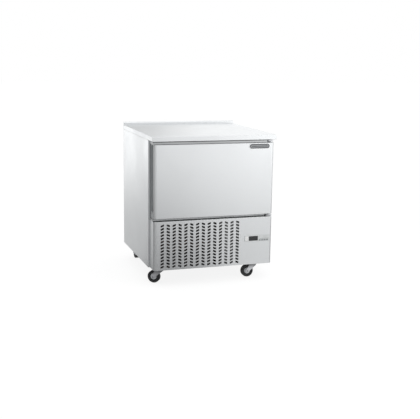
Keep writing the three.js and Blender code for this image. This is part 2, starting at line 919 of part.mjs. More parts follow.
function condenserShroud() {
  const front = condenserY1 + fit;
  const outside = block(condenserX0, condenserX1, front, shroudBack, floorLevel, condenserTop);
  const inside = block(
    condenserX0 + sheet,
    condenserX1 - sheet,
    front - through,
    shroudBack - sheet,
    floorLevel + sheet,
    condenserTop - sheet,
  );
  const radius = condenserFanRadius + fanHoleMargin;
  const from = shroudBack - sheet - through;
  const hole = rodY(condenserMiddleX, condenserMiddleZ, radius, from, shroudBack + through, tyreSteps);
  return cut(outside, inside, hole);
}

const compressorBase = floorLevel + compressorFoot;
const compressorTop = panelTop - compressorHeadroom;
const compressorHeight = compressorTop - compressorBase - compressorPlate;
const suctionPortZ = compressorBase + compressorHeight * suctionPortShare;
const suctionPortX = compressorX + compressorRadius + portReach;
const dischargePortZ = compressorTop + portReach;
const dischargePortX = compressorX + compressorRadius * dischargePortShare;

function compressor() {
  const bottom = compressorBase + compressorPlate / 2;
  const shell = turnedZ(
    [
      [0, bottom],
      ...compressorProfile.map(([across, up]) => [
        compressorRadius * across,
        bottom + compressorHeight * up,
      ]),
      [0, compressorTop],
    ],
    roundSteps,
  ).translate(compressorX, compressorY, 0);
  const halfX = compressorPlateWidth / 2;
  const halfY = compressorPlateDepth / 2;
  let whole = join(
    shell,
    block(
      compressorX - halfX,
      compressorX + halfX,
      compressorY - halfY,
      compressorY + halfY,
      compressorBase,
      compressorBase + compressorPlate,
    ),
  );
  const dischargeStub = dischargeRadius + portWall;
  const suctionStub = suctionRadius + portWall;
  whole = join(
    whole,
    rodZ(dischargePortX, compressorY, dischargeStub, compressorTop - compressorHeight / 2, dischargePortZ),
    rodX(compressorY, suctionPortZ, suctionStub, compressorX, suctionPortX),
  );
  for (const x of [compressorX - halfX + footInset, compressorX + halfX - footInset]) {
    for (const y of [compressorY - halfY + footInset, compressorY + halfY - footInset]) {
      whole = join(whole, rodZ(x, y, footRadius, floorLevel, compressorBase + compressorPlate / 2));
    }
  }
  return whole;
}

const receiverX = halfWidth - receiverFromRight;
const receiverY = shroudBack + receiverFromFront;
const receiverTop = panelTop - receiverHeadroom;

// The receiver stands on the base tray; its inlet tube reaches the condenser's end.
function liquidReceiver() {
  const body = turnedZ(
    [
      [0, floorLevel],
      [receiverBase, floorLevel],
      [receiverRadius, floorLevel + receiverCap],
      [receiverRadius, receiverTop - receiverCap],
      [receiverCrown, receiverTop],
      [0, receiverTop],
    ],
    roundSteps,
  ).translate(receiverX, receiverY, 0);
  const inletZ = (floorLevel + receiverTop) / 2;
  const inlet = pipe(
    [
      [condenserX1 + fit, condenserMiddleY, inletZ],
      [receiverX, condenserMiddleY, inletZ],
      [receiverX, receiverY, inletZ],
    ],
    liquidRadius,
  );
  return join(body, inlet);
}

const underCell = panelTop - pipeDrop;

function dischargePipe() {
  const bypassX = condenserX1 + bypassReach;
  const bypassY = shroudBack + bypassBack;
  const inletZ = condenserTop - dischargeDrop;
  return pipe(
    [
      [dischargePortX, compressorY, dischargePortZ + fit],
      [dischargePortX, compressorY, underCell],
      [dischargePortX, bypassY, underCell],
      [bypassX, bypassY, underCell],
      [bypassX, condenserMiddleY, underCell],
      [bypassX, condenserMiddleY, inletZ],
      [condenserX1 + fit, condenserMiddleY, inletZ],
    ],
    dischargeRadius,
  );
}

function liquidPipe() {
  const drierZ = receiverTop + drierRise;
  const coilZ = coilBottom + liquidRise;
  const line = pipe(
    [
      [receiverX, receiverY, receiverTop + fit],
      [receiverX, receiverY, underCell],
      [suctionX, receiverY, underCell],
      [suctionX, liquidHoleY, underCell],
      [suctionX, liquidHoleY, coilZ],
      [coilHalf + fit, liquidHoleY, coilZ],
    ],
    liquidRadius,
  );
  return join(line, rodZ(receiverX, receiverY, drierRadius, drierZ, drierZ + drierLength));
}

function suctionPipe() {
  const coilZ = coilBottom + suctionRise;
  const dropX = suctionPortX + suctionReach;
  return pipe(
    [
      [coilHalf + fit, suctionHoleY, coilZ],
      [suctionX, suctionHoleY, coilZ],
      [suctionX, suctionHoleY, underCell],
      [dropX, suctionHoleY, underCell],
      [dropX, compressorY, underCell],
      [dropX, compressorY, suctionPortZ],
      [suctionPortX + fit, compressorY, suctionPortZ],
    ],
    suctionRadius,
  );
}

function cableGland() {
  const x = -halfWidth + glandFromLeft;
  const z = cabinetBottom + glandRise;
  const inner = cabinetBack - sheet - fit;
  return join(
    rodY(x, z, glandRadius, inner - glandBodyDepth, cabinetBack + glandProud / 2),
    rodY(x, z, glandNut, cabinetBack + fit, cabinetBack + glandProud, nutSides),
    rodY(x, z, glandNut, inner - glandProud, inner, nutSides),
  );
}

// The door in its own frame: its face is y = 0 and its bottom edge is z = 0.
const gripTop = doorHeight - sheet;

function gripBlock(grow) {
  return block(
    -doorHalf - through,
    -doorHalf + gripDepth + grow,
    gripFront - grow,
    gripBack + grow,
    gripFoot - grow,
    gripTop,
  );
}

function pinHoles() {
  const x = pivotX;
  const radius = pinRadius + fit;
  return [
    rodZ(x, pivotDepth, radius, -through, pinReach + fit),
    rodZ(x, pivotDepth, radius, doorHeight - pinReach - fit, doorHeight + through),
  ];
}

function doorSkin() {
  const outside = prismZ(panOutline(doorHalf, 0, doorThickness, cornerRadius), 0, doorHeight);
  const hollow = panOutline(doorHalf - sheet, sheet, doorThickness + through, cornerRadius - sheet);
  const inside = prismZ(hollow, sheet, doorHeight - sheet);
  return cut(outside, inside, gripBlock(0), ...pinHoles());
}

function doorInsulation() {
  const gap = sheet + fit;
  const outline = panOutline(doorHalf - gap, gap, doorThickness - gap, cornerRadius - gap);
  return cut(prismZ(outline, gap, doorHeight - gap), gripBlock(fit), ...pinHoles());
}

function doorLiner() {
  const half = doorHalf - sheet - fit;
  const bottom = sheet + fit;
  const top = doorHeight - sheet - fit;
  const plate = block(-half, half, doorThickness - sheet, doorThickness, bottom, top);
  const plugHalf = cellHalf - plugInset;
  const plugBottom = cellInset + plugInset;
  const plugTop = doorHeight - cellInset - plugInset;
  const plugBack = doorThickness + plugDepth;
  const plug = block(-plugHalf, plugHalf, doorThickness - sheet, plugBack, plugBottom, plugTop);
  const hollow = block(
    -plugHalf + sheet,
    plugHalf - sheet,
    doorThickness - sheet - through,
    plugBack - sheet,
    plugBottom + sheet,
    plugTop - sheet,
  );
  return cut(join(plate, plug), hollow);
}

function doorGasket() {
  const outline = rectangle(
    -gasketHalf,
    gasketHalf,
    gasketEndInset,
    doorHeight - gasketEndInset,
  );
  const inner = gasketHalf - gasketWidth;
  const low = gasketEndInset + gasketWidth;
  const hole = rectangle(-inner, inner, low, doorHeight - low);
  const back = doorThickness + gasketThickness - fit;
  return prismY(shapeOf(outline, [hole]), doorThickness + fit, back);
}

function doorGrip() {
  const outer = -doorHalf;
  const bed = -doorHalf + gripDepth;
  const front = gripFront + fit;
  const back = gripBack - fit;
  const bottom = gripFoot + fit;
  const top = gripTop - fit;
  const whole = block(outer, bed - fit, front, back, bottom, top);
  const channel = block(
    outer - through,
    bed - fit - gripWall,
    front + gripWall,
    back - gripWall,
    bottom + gripWall,
    top - gripWall,
  );
  return cut(whole, channel);
}

function badgePlate() {
  const radius = badgeHeight / 2;
  const right = doorHalf - badgeRight - radius;
  const left = right - badgeWidth + badgeHeight;
  const z = doorHeight - badgeDrop - radius;
  const quarter = Math.PI / 2;
  const outline = [
    ...arc(right, z, radius, -quarter, quarter, badgeSteps),
    ...arc(left, z, radius, quarter, 3 * quarter, badgeSteps),
  ];
  return prismY(shapeOf(outline), -badgeThickness - fit, -fit);
}

function door() {
  const group = new THREE.Group();
  group.position.set(0, doorFront, doorBottom);
  piece(group, "door_outer_skin", doorSkin(), materials.steel);
  piece(group, "door_insulation", doorInsulation(), materials.foam);
  piece(group, "door_inner_liner", doorLiner(), materials.liner);
  piece(group, "door_gasket", doorGasket(), materials.rubber);
  piece(group, "door_grip_profile", doorGrip(), materials.darkPlastic);
  piece(group, "badge_plate", badgePlate(), materials.badge);
  return group;
}

// A hinge bracket: a plate with a pin and a thrust collar, on a leg against the door frame.
function hingeBracket(plateBottom, legBottom, legTop, collar, pin) {
  const left = pivotX - hingeLeft;
  const right = pivotX + hingeRight;
  const back = frameFront - fit;
  return join(
    block(left, right, pivotY - hingeNose, back, plateBottom, plateBottom + hingePlate),
    block(left, right, back - hingeLeg, back, legBottom, legTop),
    rodZ(pivotX, pivotY, collarRadius, ...collar),
    rodZ(pivotX, pivotY, pinRadius, ...pin),
  );
}

function upperHinge() {
  const plate = doorTop + upperHingeLift;
  return hingeBracket(
    plate,
    doorTop + through,
    skirtBottom - fit,
    [doorTop + fit, plate + through],
    [doorTop - pinReach, plate + through],
  );
}

function lowerHinge() {
  const plate = panelTop + lowerHingeLift;
  return hingeBracket(
    plate,
    panelTop + fit,
    doorBottom - through,
    [plate + through, doorBottom - fit],
    [plate + through, doorBottom + pinReach],
  );
}

// Casters: the top plate is bolted on; the fork turns about the kingpin, and trails along its own +X.
const plateTop = cabinetBottom - fit;
const raceBottom = plateTop - plateThickness - raceDrop;
const forkUpper = raceBottom - fit;
const forkLower = forkUpper - forkTop;

function casterPlate() {
  const halfX = plateLength / 2;
  const halfY = plateWidth / 2;
  const pinBottom = forkLower - fit - kingpinHeadHeight;
  return join(
    block(-halfX, halfX, -halfY, halfY, plateTop - plateThickness, plateTop),
    rodZ(0, 0, raceRadius, raceBottom, plateTop - plateThickness / 2, tyreSteps),
    rodZ(0, 0, kingpinRadius, pinBottom, raceBottom + through, pinSteps),
    rodZ(0, 0, kingpinHead, pinBottom, forkLower - fit, pinSteps),
  );
}

function casterFork() {
  const legInner = wheelWidth / 2 + forkGap;
  const legOuter = legInner + forkLeg;
  const headEnd = legOuter + axleHeadHeight;
  const leg = shapeOf([
    [-forkRearTop, forkUpper - forkTop / 2],
    [-forkWaist, forkLower - forkTop],
    [trail - axleEye, wheelRadius],
    ...arc(trail, wheelRadius, axleEye, axleEyeStart, Math.PI * 2, cornerSteps),
    [forkFrontTop, forkUpper - forkTop / 2],
  ]);
  const disc = rodZ(0, 0, forkDisc, forkLower, forkUpper);
  const hole = rodZ(0, 0, kingpinRadius + roundFit, forkLower - through, forkUpper + through, pinSteps);
  return join(
    cut(disc, hole),
    prismY(leg, legInner, legOuter),
    prismY(leg, -legOuter, -legInner),
    rodY(trail, wheelRadius, axleRadius, -legOuter, legOuter, pinSteps),
    rodY(trail, wheelRadius, axleHead, legOuter - forkLeg / 2, headEnd, pinSteps),
    rodY(trail, wheelRadius, axleHead, -headEnd, -legOuter + forkLeg / 2, pinSteps),
  );
}

function wheelCore() {
  const half = wheelWidth / 2;
  const bore = axleRadius + roundFit;
  const web = coreWeb / 2;
  const rim = half - coreRimInset;
  const rimIn = coreRadius - coreRim;
  return turnedY(
    [
      [bore, -half],
      [coreHub, -half],
      [coreHub, -web],
      [rimIn, -web],
      [rimIn, -rim],
      [coreRadius, -rim],
      [coreRadius, rim],
      [rimIn, rim],
      [rimIn, web],
      [coreHub, web],
      [coreHub, half],
      [bore, half],
      [bore, -half],
    ],
    coreSteps,
  );
}

function tyre() {
  const half = wheelWidth / 2;
  const bed = coreRadius + roundFit;
  return turnedY(
    [
      [bed, -half + tyreCrown / 2],
      [wheelRadius - tyreShoulder, -half],
      [wheelRadius - tyreCrown / 2, -half + tyreCrown],
      [wheelRadius, -half + tyreShoulder],
      [wheelRadius, half - tyreShoulder],
      [wheelRadius - tyreCrown / 2, half - tyreCrown],
      [wheelRadius - tyreShoulder, half],
      [bed, half - tyreCrown / 2],
      [bed, -half + tyreCrown / 2],
    ],
    tyreSteps,
  );
}

function caster(name, x, y) {
  const mount = new THREE.Group();
  mount.position.set(x, y, 0);
  piece(mount, `caster_plate_${name}`, casterPlate(), materials.zinc);
  const swivel = new THREE.Group();
  swivel.rotation.z = THREE.MathUtils.degToRad(casterAngles[name]);
  mount.add(swivel);
  piece(swivel, `caster_fork_${name}`, casterFork(), materials.zinc);
  const wheel = new THREE.Group();
  wheel.position.set(trail, 0, wheelRadius);
  swivel.add(wheel);
  piece(wheel, `wheel_core_${name}`, wheelCore(), materials.paleNylon);
  piece(wheel, `tyre_${name}`, tyre(), materials.rubber);
  return mount;
}

function cabinet() {
  const group = new THREE.Group();
  piece(group, "worktop", worktop(), materials.steel);
  piece(group, "rear_upstand", upstand(), materials.steel);
  piece(group, "left_side_panel", sidePanel(-1), materials.steel);
  piece(group, "right_side_panel", sidePanel(1), materials.steel);
  piece(group, "rear_panel", rearPanel(), materials.steelDark);
  piece(group, "cell_insulation", cellInsulation(), materials.foam);
  piece(group, "cell_liner", cellLiner(), materials.liner);
  piece(group, "door_frame", doorFrame(), materials.darkPlastic);
  piece(group, "upper_hinge_bracket", upperHinge(), materials.zinc);
  piece(group, "lower_hinge_bracket", lowerHinge(), materials.zinc);
  piece(group, "lower_front_panel", lowerPanel(), materials.steel);
  piece(group, "base_tray", baseTray(), materials.steelDark);
  piece(group, "power_cable_gland", cableGland(), materials.darkPlastic);
  return group;
}

function cellFittings() {
  const group = new THREE.Group();
  const coilTop = cellTop - coilTopGap;
  const coil = finBlock(-coilHalf, coilHalf, coilFront, coilBack, coilBottom, coilTop, coilFins);
  piece(group, "tray_rack_left", trayRack(-1), materials.liner);
  piece(group, "tray_rack_right", trayRack(1), materials.liner);
  piece(group, "fan_panel", fanPanel(), materials.liner);
  piece(group, "evaporator_coil", coil, materials.aluminium);
  piece(group, "drip_tray", dripTray(), materials.liner);
  piece(group, "drain_pipe", drainPipe(), materials.darkPlastic);
  group.add(fanAssembly("evaporator", evaporatorFanRadius, 0, fanPanelBack, cellMiddle));
  return group;
}

function machineCompartment() {
  const group = new THREE.Group();
  const coil = finBlock(
    condenserX0,
    condenserX1,
    condenserY0,
    condenserY1,
    floorLevel,
    condenserTop,
    condenserFins,
  );
  const tray = openTray(
    condensateX0,
    condensateX1,
    condensateY0,
    condensateY1,
    floorLevel,
    floorLevel + condensateHeight,
    sheet,
  );
  const boxRight = halfWidth - sheet - fit;
  const boxFront = cabinetFront + sideFlange + boxBehind;
  const boxTop = panelTop - boxTopGap;
  const electrical = block(
    boxRight - boxWidth,
    boxRight,
    boxFront,
    boxFront + boxDepth,
    boxTop - boxHeight,
    boxTop,
  );
  piece(group, "condenser_coil", coil, materials.aluminium);
  piece(group, "condenser_fan_shroud", condenserShroud(), materials.steelDark);
  piece(group, "compressor", compressor(), materials.blackPaint);
  piece(group, "liquid_receiver", liquidReceiver(), materials.blackPaint);
  piece(group, "condensate_tray", tray, materials.steelDark);
  piece(group, "discharge_pipe", dischargePipe(), materials.copper);
  piece(group, "liquid_pipe", liquidPipe(), materials.copper);
  piece(group, "suction_pipe", suctionPipe(), materials.copper);
  piece(group, "electrical_box", electrical, materials.greyBox);
  const fan = [condenserFanRadius, condenserMiddleX, shroudBack, condenserMiddleZ];
  group.add(fanAssembly("condenser", ...fan));
  return group;
}

function controller() {
  const group = new THREE.Group();
  piece(group, "controller_fascia", controllerFascia(), materials.fascia);
  piece(group, "display_window", displayBlock(0, fasciaFront), materials.window);
  for (let i = 0; i < keyCount; i += 1) {
    const key = keyBlock(i, 0, fasciaFront - keyProud, keyDepth - keyProud);
    piece(group, `controller_key_${i + 1}`, key, materials.key);
  }
  return group;
}

const chiller = new THREE.Group();
chiller.name = "blast_chiller";
chiller.add(cabinet(), cellFittings(), machineCompartment(), controller(), door());
const leftX = -halfWidth + casterLeft;
const rightX = halfWidth - casterRight;
chiller.add(caster("front_left", leftX, -casterY));
chiller.add(caster("front_right", rightX, -casterY));
chiller.add(caster("rear_left", leftX, casterY));
chiller.add(caster("rear_right", rightX, casterY));

export default chiller;
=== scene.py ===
import json
import bmesh
import bpy
import numpy as np
from mathutils import Matrix, Vector
from mathutils.geometry import tessellate_polygon


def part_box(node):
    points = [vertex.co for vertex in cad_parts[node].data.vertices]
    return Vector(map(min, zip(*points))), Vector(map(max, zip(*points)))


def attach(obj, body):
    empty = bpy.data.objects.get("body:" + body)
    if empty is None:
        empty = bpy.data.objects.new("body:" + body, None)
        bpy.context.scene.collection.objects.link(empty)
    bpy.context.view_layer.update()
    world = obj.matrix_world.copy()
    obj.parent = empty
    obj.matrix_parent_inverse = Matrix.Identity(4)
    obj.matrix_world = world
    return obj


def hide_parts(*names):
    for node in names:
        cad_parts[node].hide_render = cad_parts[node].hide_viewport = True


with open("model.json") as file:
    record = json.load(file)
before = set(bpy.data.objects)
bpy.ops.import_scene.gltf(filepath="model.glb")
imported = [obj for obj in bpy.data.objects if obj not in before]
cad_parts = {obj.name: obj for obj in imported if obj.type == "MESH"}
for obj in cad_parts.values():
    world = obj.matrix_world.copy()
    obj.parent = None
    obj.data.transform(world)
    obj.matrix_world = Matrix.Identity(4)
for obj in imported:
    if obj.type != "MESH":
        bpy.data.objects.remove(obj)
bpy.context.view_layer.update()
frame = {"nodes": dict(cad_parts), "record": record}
scene = bpy.context.scene
mm = 0.001  # sizes below are millimetres, and meshes are metres

# The photograph's view: the camera's bearing and height about its target, and a little roll.
photoView = {"bearing": -18.57, "elevation": 11.21, "roll": 0.88, "distance": 5.414,
             "target": (0.1033, 0.0, 0.3929), "lens": 68.81, "sensor": 36.0, "reach": 200}


# Back points from the target to the camera; the roll turns right and up about it.
def makeCamera(view):
    bearing, elevation, roll = np.radians([view["bearing"], view["elevation"], view["roll"]])
    back = np.array([np.sin(bearing) * np.cos(elevation), -np.cos(bearing) * np.cos(elevation),
                     np.sin(elevation)])
    level = np.cross([0, 0, 1], back)
    level /= np.linalg.norm(level)
    upright = np.cross(back, level)
    right = level * np.cos(roll) + upright * np.sin(roll)
    up = upright * np.cos(roll) - level * np.sin(roll)
    place = np.array(view["target"]) + back * view["distance"]
    lens = bpy.data.cameras.new("photoView")
    lens.lens, lens.sensor_width, lens.clip_end = view["lens"], view["sensor"], view["reach"]
    holder = bpy.data.objects.new("photoView", lens)
    scene.collection.objects.link(holder)
    axes = np.column_stack([right, up, back, place])
    holder.matrix_world = Matrix([*axes.tolist(), [0, 0, 0, 1]])
    scene.camera = holder


makeCamera(photoView)
print("camera set")


# A node with its settings; each input takes a link or a plain value.
def node(tree, kind, inputs=None, **settings):
    made = tree.nodes.new("ShaderNode" + kind)
    for key, value in settings.items():
        setattr(made, key, value)
    for key, value in (inputs or {}).items():
        if isinstance(value, bpy.types.NodeSocket):
            tree.links.new(value, made.inputs[key])
        else:
            made.inputs[key].default_value = value
    return made


# The result of one sum on two values.
def maths(tree, operation, first, second, clamp=False):
    made = node(tree, "Math", {0: first, 1: second}, operation=operation, use_clamp=clamp)
    return made.outputs[0]


# first * share + second * other
def weighted(tree, first, share, second, other):
    return maths(tree, "ADD", maths(tree, "MULTIPLY", first, share),
                 maths(tree, "MULTIPLY", second, other))


# A mask of 0 to 1 carried to low to high.
def between(tree, mask, low, high):
    return node(tree, "MapRange", {0: mask, 3: low, 4: high}).outputs[0]


# A smooth step: low up to the value start, high from the value end.
def eased(tree, value, start, end, low=0.0, high=1.0):
    return node(tree, "MapRange", {0: value, 1: start, 2: end, 3: low, 4: high},
                interpolation_type="SMOOTHSTEP").outputs[0]


# The first colour where the mask is 0, the second where it is 1.
def mixed(tree, mask, first, second):
    return node(tree, "Mix", {"Factor": mask, 6: first, 7: second}, data_type="RGBA").outputs[2]


# A shared effect: a place and named inputs with their defaults, and the value that fill gives.
def effect(name, output, fill, **inputs):
    tree = bpy.data.node_groups.new(name, "ShaderNodeTree")
    tree.interface.new_socket("Place", in_out="INPUT", socket_type="NodeSocketVector")
    for label, value in inputs.items():
        kind = "NodeSocketVector" if isinstance(value, tuple) else "NodeSocketFloat"
        tree.interface.new_socket(label, in_out="INPUT", socket_type=kind).default_value = value
    tree.interface.new_socket(output, in_out="OUTPUT", socket_type="NodeSocketFloat")
    given, end = tree.nodes.new("NodeGroupInput").outputs, tree.nodes.new("NodeGroupOutput")
    tree.links.new(fill(tree, given), end.inputs[output])
    return tree


# The value of a shared effect.
def grouped(tree, group, **inputs):
    return node(tree, "Group", inputs, node_tree=group).outputs[0]


# Noise in a vector's place.
def noise(tree, place, scale, detail, **more):
    values = {"Vector": place, "Scale": scale, "Detail": detail, **more}
    return node(tree, "TexNoise", values).outputs[0]


# Grain: noise stretched along the rolling direction, a fine one and a coarser one.
def fillGrain(tree, given):
    spread = node(tree, "VectorMath", {0: given["Place"], 1: given["Lines"]},
                  operation="MULTIPLY").outputs[0]
    return weighted(tree, noise(tree, spread, 1.0, 4.0), 0.65, noise(tree, spread, 0.17, 2.0), 0.35)


# Marks: broad soft clouds where hands and cloths have dulled the sheet.
def fillMarks(tree, given):
    return eased(tree, noise(tree, given["Place"], given["Scale"], 3.0, Distortion=0.8), 0.42, 0.68)


# Speckle: the pebbled skin of moulded plastic, rubber or powder paint.
def fillSpeckle(tree, given):
    cells = node(tree, "TexVoronoi", {"Vector": given["Place"], "Scale": given["Scale"]},
                 feature="SMOOTH_F1").outputs[0]
    return weighted(tree, cells, 0.6, noise(tree, given["Place"], given["Scale"], 2.0), 0.5)


# A height mask broken up by noise, from none at Top to full at Bottom: real dust low down on the
# tyres, painted shade high up on the caster plates and forks.
def fillDustAndShade(tree, given):
    rise = node(tree, "SeparateXYZ", {0: given["Place"]}).outputs[2]
    low = node(tree, "MapRange", {0: rise, 1: given["Top"], 2: given["Bottom"]}).outputs[0]
    return maths(tree, "MULTIPLY", low, noise(tree, given["Place"], 26.0, 5.0), clamp=True)


grainGroup = effect("rollingGrain", "Grain", fillGrain, Lines=(30, 900, 900))
marksGroup = effect("handMarks", "Mask", fillMarks, Scale=4.0)
speckleGroup = effect("speckle", "Height", fillSpeckle, Scale=900.0)
dustAndShadeGroup = effect("heightDustAndShade", "Mask", fillDustAndShade, Top=0.2, Bottom=0.0)


# Screen values of 0 to 255 as linear light.
def srgb(*screen):
    share = np.array(screen) / 255
    line = np.where(share <= 0.04045, share / 12.92, ((share + 0.055) / 1.055) ** 2.4)
    return (*line.tolist(), 1.0)


# A colour times a share.
def dim(colour, share):
    return (*[part * share for part in colour[:3]], 1.0)


# The start of a finish: a material with a Principled shader and its object coordinates.
def startFinish(name, colour, roughness, metallic=0.0, **fixed):
    material = bpy.data.materials.new(name)
    material.use_nodes = True
    tree = material.node_tree
    shader = tree.nodes["Principled BSDF"].inputs
    values = {"Base Color": colour, "Roughness": roughness, "Metallic": metallic, **fixed}
    for key, value in values.items():
        shader[key].default_value = value
    return material, tree, shader, node(tree, "TexCoord").outputs["Object"]


# The end of a finish: colour, roughness and the bump of a height go to the shader.
def endFinish(tree, shader, tint, rough, height, strength, distance):
    bump = node(tree, "Bump", {"Height": height, "Strength": strength, "Distance": distance})
    for key, socket in (("Base Color", tint), ("Roughness", rough), ("Normal", bump.outputs[0])):
        tree.links.new(socket, shader[key])


# A colour darkened or dusted by a height mask, from its clean level to its covered level: real dust
# on the tyres, painted shade on the caster plates and forks.
def dustAndPaintedShade(tree, place, under, clean, covered, coverColour):
    mask = grouped(tree, dustAndShadeGroup, Place=place, Top=clean, Bottom=covered)
    return mixed(tree, mask, under, coverColour)


# Sheet steel: grain in its roughness and bump, soft clouds of handling, and painted shade by height
# where it has any.
def sheetSteel(name, colour, roughness, lines, depth=0.12, dullness=0.1, paintedShade=None):
    material, tree, shader, place = startFinish(name, colour, roughness, 1.0)
    grain = grouped(tree, grainGroup, Place=place, Lines=lines)
    marks = grouped(tree, marksGroup, Place=place)
    rough = maths(tree, "ADD", between(tree, grain, roughness - 0.07, roughness + 0.07),
                  maths(tree, "MULTIPLY", marks, dullness))
    tint = mixed(tree, grain, dim(colour, 0.97), dim(colour, 1.03))
    if paintedShade:
        tint = dustAndPaintedShade(tree, place, tint, *paintedShade)
    endFinish(tree, shader, tint, rough, grain, depth, 0.00006)
    return material


# Moulded or painted skin: speckle in the bump, clouds in the gloss, dust low down where it has any.
def moulded(name, colour, roughness, scale=900.0, depth=0.2, dust=None, **fixed):
    material, tree, shader, place = startFinish(name, colour, roughness, **fixed)
    speckle = grouped(tree, speckleGroup, Place=place, Scale=scale)
    marks = grouped(tree, marksGroup, Place=place, Scale=18.0)
    tint = mixed(tree, marks, colour, dim(colour, 0.9))
    if dust:
        tint = dustAndPaintedShade(tree, place, tint, *dust)
    rough = between(tree, marks, roughness, min(roughness + 0.1, 1))
    endFinish(tree, shader, tint, rough, speckle, depth, 0.0002)
    return material


cabinetSteel = (0.72, 0.735, 0.745, 1.0)
plateGrain, sheetGrain = (300, 300, 300), (40, 900, 900)
finishes = {
    "stainless_steel": sheetSteel("satinSteel", cabinetSteel, 0.36, sheetGrain, 0.12, 0.05),
    "liner_steel": sheetSteel("linerSteel", (0.74, 0.75, 0.76, 1), 0.3, (30, 700, 700), 0.1),
    "back_steel": sheetSteel("galvanisedBack", (0.5, 0.51, 0.52, 1), 0.42, (260, 260, 260), 0.2),
    "zinc_steel": sheetSteel("zincPlate", (0.7, 0.71, 0.73, 1), 0.34, plateGrain, 0.25, 0.2),
    "aluminium": sheetSteel("aluminiumFin", (0.76, 0.77, 0.78, 1), 0.38, (60, 500, 500)),
    "copper": sheetSteel("drawnCopper", (0.72, 0.34, 0.19, 1), 0.32, (500, 500, 90), 0.15, 0.25),
    "foam": moulded("rigidFoam", srgb(226, 214, 170), 0.95, 260.0, 0.7),
    "grey_plastic": moulded("darkGreyPlastic", srgb(158, 162, 164), 0.48),
    "seal_rubber": moulded("gasketRubber", srgb(58, 60, 61), 0.62, 1200.0, 0.12),
    "tyre_rubber": moulded("tyreRubber", srgb(20, 21, 22), 0.62, 700.0, 0.3,
                           (0.02, -0.01, srgb(78, 76, 73))),
    "wheel_nylon": moulded("wheelNylon", srgb(48, 50, 52), 0.48, 800.0, 0.12),
    "black_paint": moulded("blackPaint", srgb(34, 35, 37), 0.4, 400.0, 0.25),
    "box_plastic": moulded("boxPlastic", srgb(188, 191, 191), 0.5),
    "fascia_plastic": moulded("fasciaPlastic", srgb(226, 229, 229), 0.42, 1500.0, 0.08),
    "display_plastic": moulded("displayLens", srgb(20, 23, 26), 0.16, 300.0, 0.02,
                               **{"Coat Weight": 0.5, "Coat Roughness": 0.05}),
    "key_plastic": moulded("keyPlastic", srgb(150, 154, 156), 0.5, 1500.0, 0.1),
    "badge_plastic": moulded("badgePlastic", srgb(98, 102, 106), 0.22, 500.0, 0.03,
                             **{"Coat Weight": 0.6, "Coat Roughness": 0.08}),
}
brightRim = sheetSteel("brightRim", (0.86, 0.87, 0.88, 1), 0.2, plateGrain, 0.05)
# Dark steel: on the frame rails it is painted shade for the gaps over and under the door; on the
# badge it is the inlay's own tone.
gapShadeAndInlaySteel = sheetSteel("gapShadeAndInlaySteel", (0.42, 0.43, 0.435, 1), 0.38, sheetGrain)
# Darker aluminium for the condenser fins and the air baffle: painted shade for the dim space behind
# the slotted panel.
finsWithPaintedShade = sheetSteel("finsWithPaintedShade", (0.5, 0.5, 0.49, 1), 0.5, (60, 500, 500), 0.1, 0.15)
# Zinc with painted shade: from 54 mm up it darkens in noisy patches, on the caster fork tops and
# the caster plates, where the cabinet shades them.
zincWithPaintedShade = sheetSteel("zincWithPaintedShade", (0.66, 0.67, 0.69, 1), 0.36, plateGrain, 0.25, 0.2,
                        (0.054, 0.078, (0.01, 0.01, 0.01, 1)))
darkNylon = moulded("darkNylon", srgb(44, 46, 48), 0.5, 800.0, 0.12)
paleNylon = moulded("paleNylon", srgb(196, 199, 201), 0.42, 800.0, 0.12)
paleBlock = moulded("paleBlock", srgb(254, 254, 254), 0.25, 1500.0, 0.05)
print("finishes made")

for part in frame["record"]["subparts"]:
    mesh = frame["nodes"][part["node"]].data
    mesh.materials.clear()
    mesh.materials.append(finishes[part["material_slot"]])


# Vectors divided by their lengths.
def unit(vectors):
    return vectors / np.maximum(np.linalg.norm(vectors, axis=-1, keepdims=True), 1e-12)


# The headings into and out of each corner of a path.
def headings(corners, closed):
    came = unit(corners - np.roll(corners, 1, 0))
    goes = unit(np.roll(corners, -1, 0) - corners)
    if not closed:
        came[0], goes[-1] = goes[0], came[-1]
    return came, goes


# A path whose corners are arcs: each arc touches both of its edges and has a plain strip beside it,
# so that the flats stay flat in the shading. Works in a plane and in space.
def rounded(corners, radius, steps=6, closed=True, strip=0.25):
    corners = np.asarray(corners, float)
    radius = np.broadcast_to(np.asarray(radius, float), len(corners))[:, None]
    came, goes = headings(corners, closed)
    along = (came * goes).sum(1, keepdims=True)
    turn = np.arccos(np.clip(along, -1, 1))
    side = unit(goes - came * along)
    reach = radius * np.tan(turn / 2)
    angle = (turn * np.linspace(0, 1, steps + 1))[..., None]
    swept = radius[:, None] * (came[:, None] * np.sin(angle) + side[:, None] * (1 - np.cos(angle)))
    arc = (corners - came * reach)[:, None] + swept
    margin = np.where(radius > 0, strip, 0)
    first = arc[:, :1] - (came * margin)[:, None]
    last = arc[:, -1:] + (goes * margin)[:, None]
    return np.concatenate([first, arc, last], 1).reshape(-1, corners.shape[1])


# A cut-out's outline: rounded corners without strips.
def cutOut(corners, radius, steps):
    return rounded(corners, radius, steps, strip=0)


# An open path with its inner corners bent: one radius for all of them, or one for each.
def bent(corners, bends, steps=3, strip=0.25):
    inner = np.broadcast_to(np.asarray(bends, float), len(corners) - 2)
    return rounded(corners, [0, *inner, 0], steps, closed=False, strip=strip)


# The row of a rounded path's points after which the flat beyond its given corner starts.
def lastOf(corner, steps):
    return corner * (steps + 3) - 1


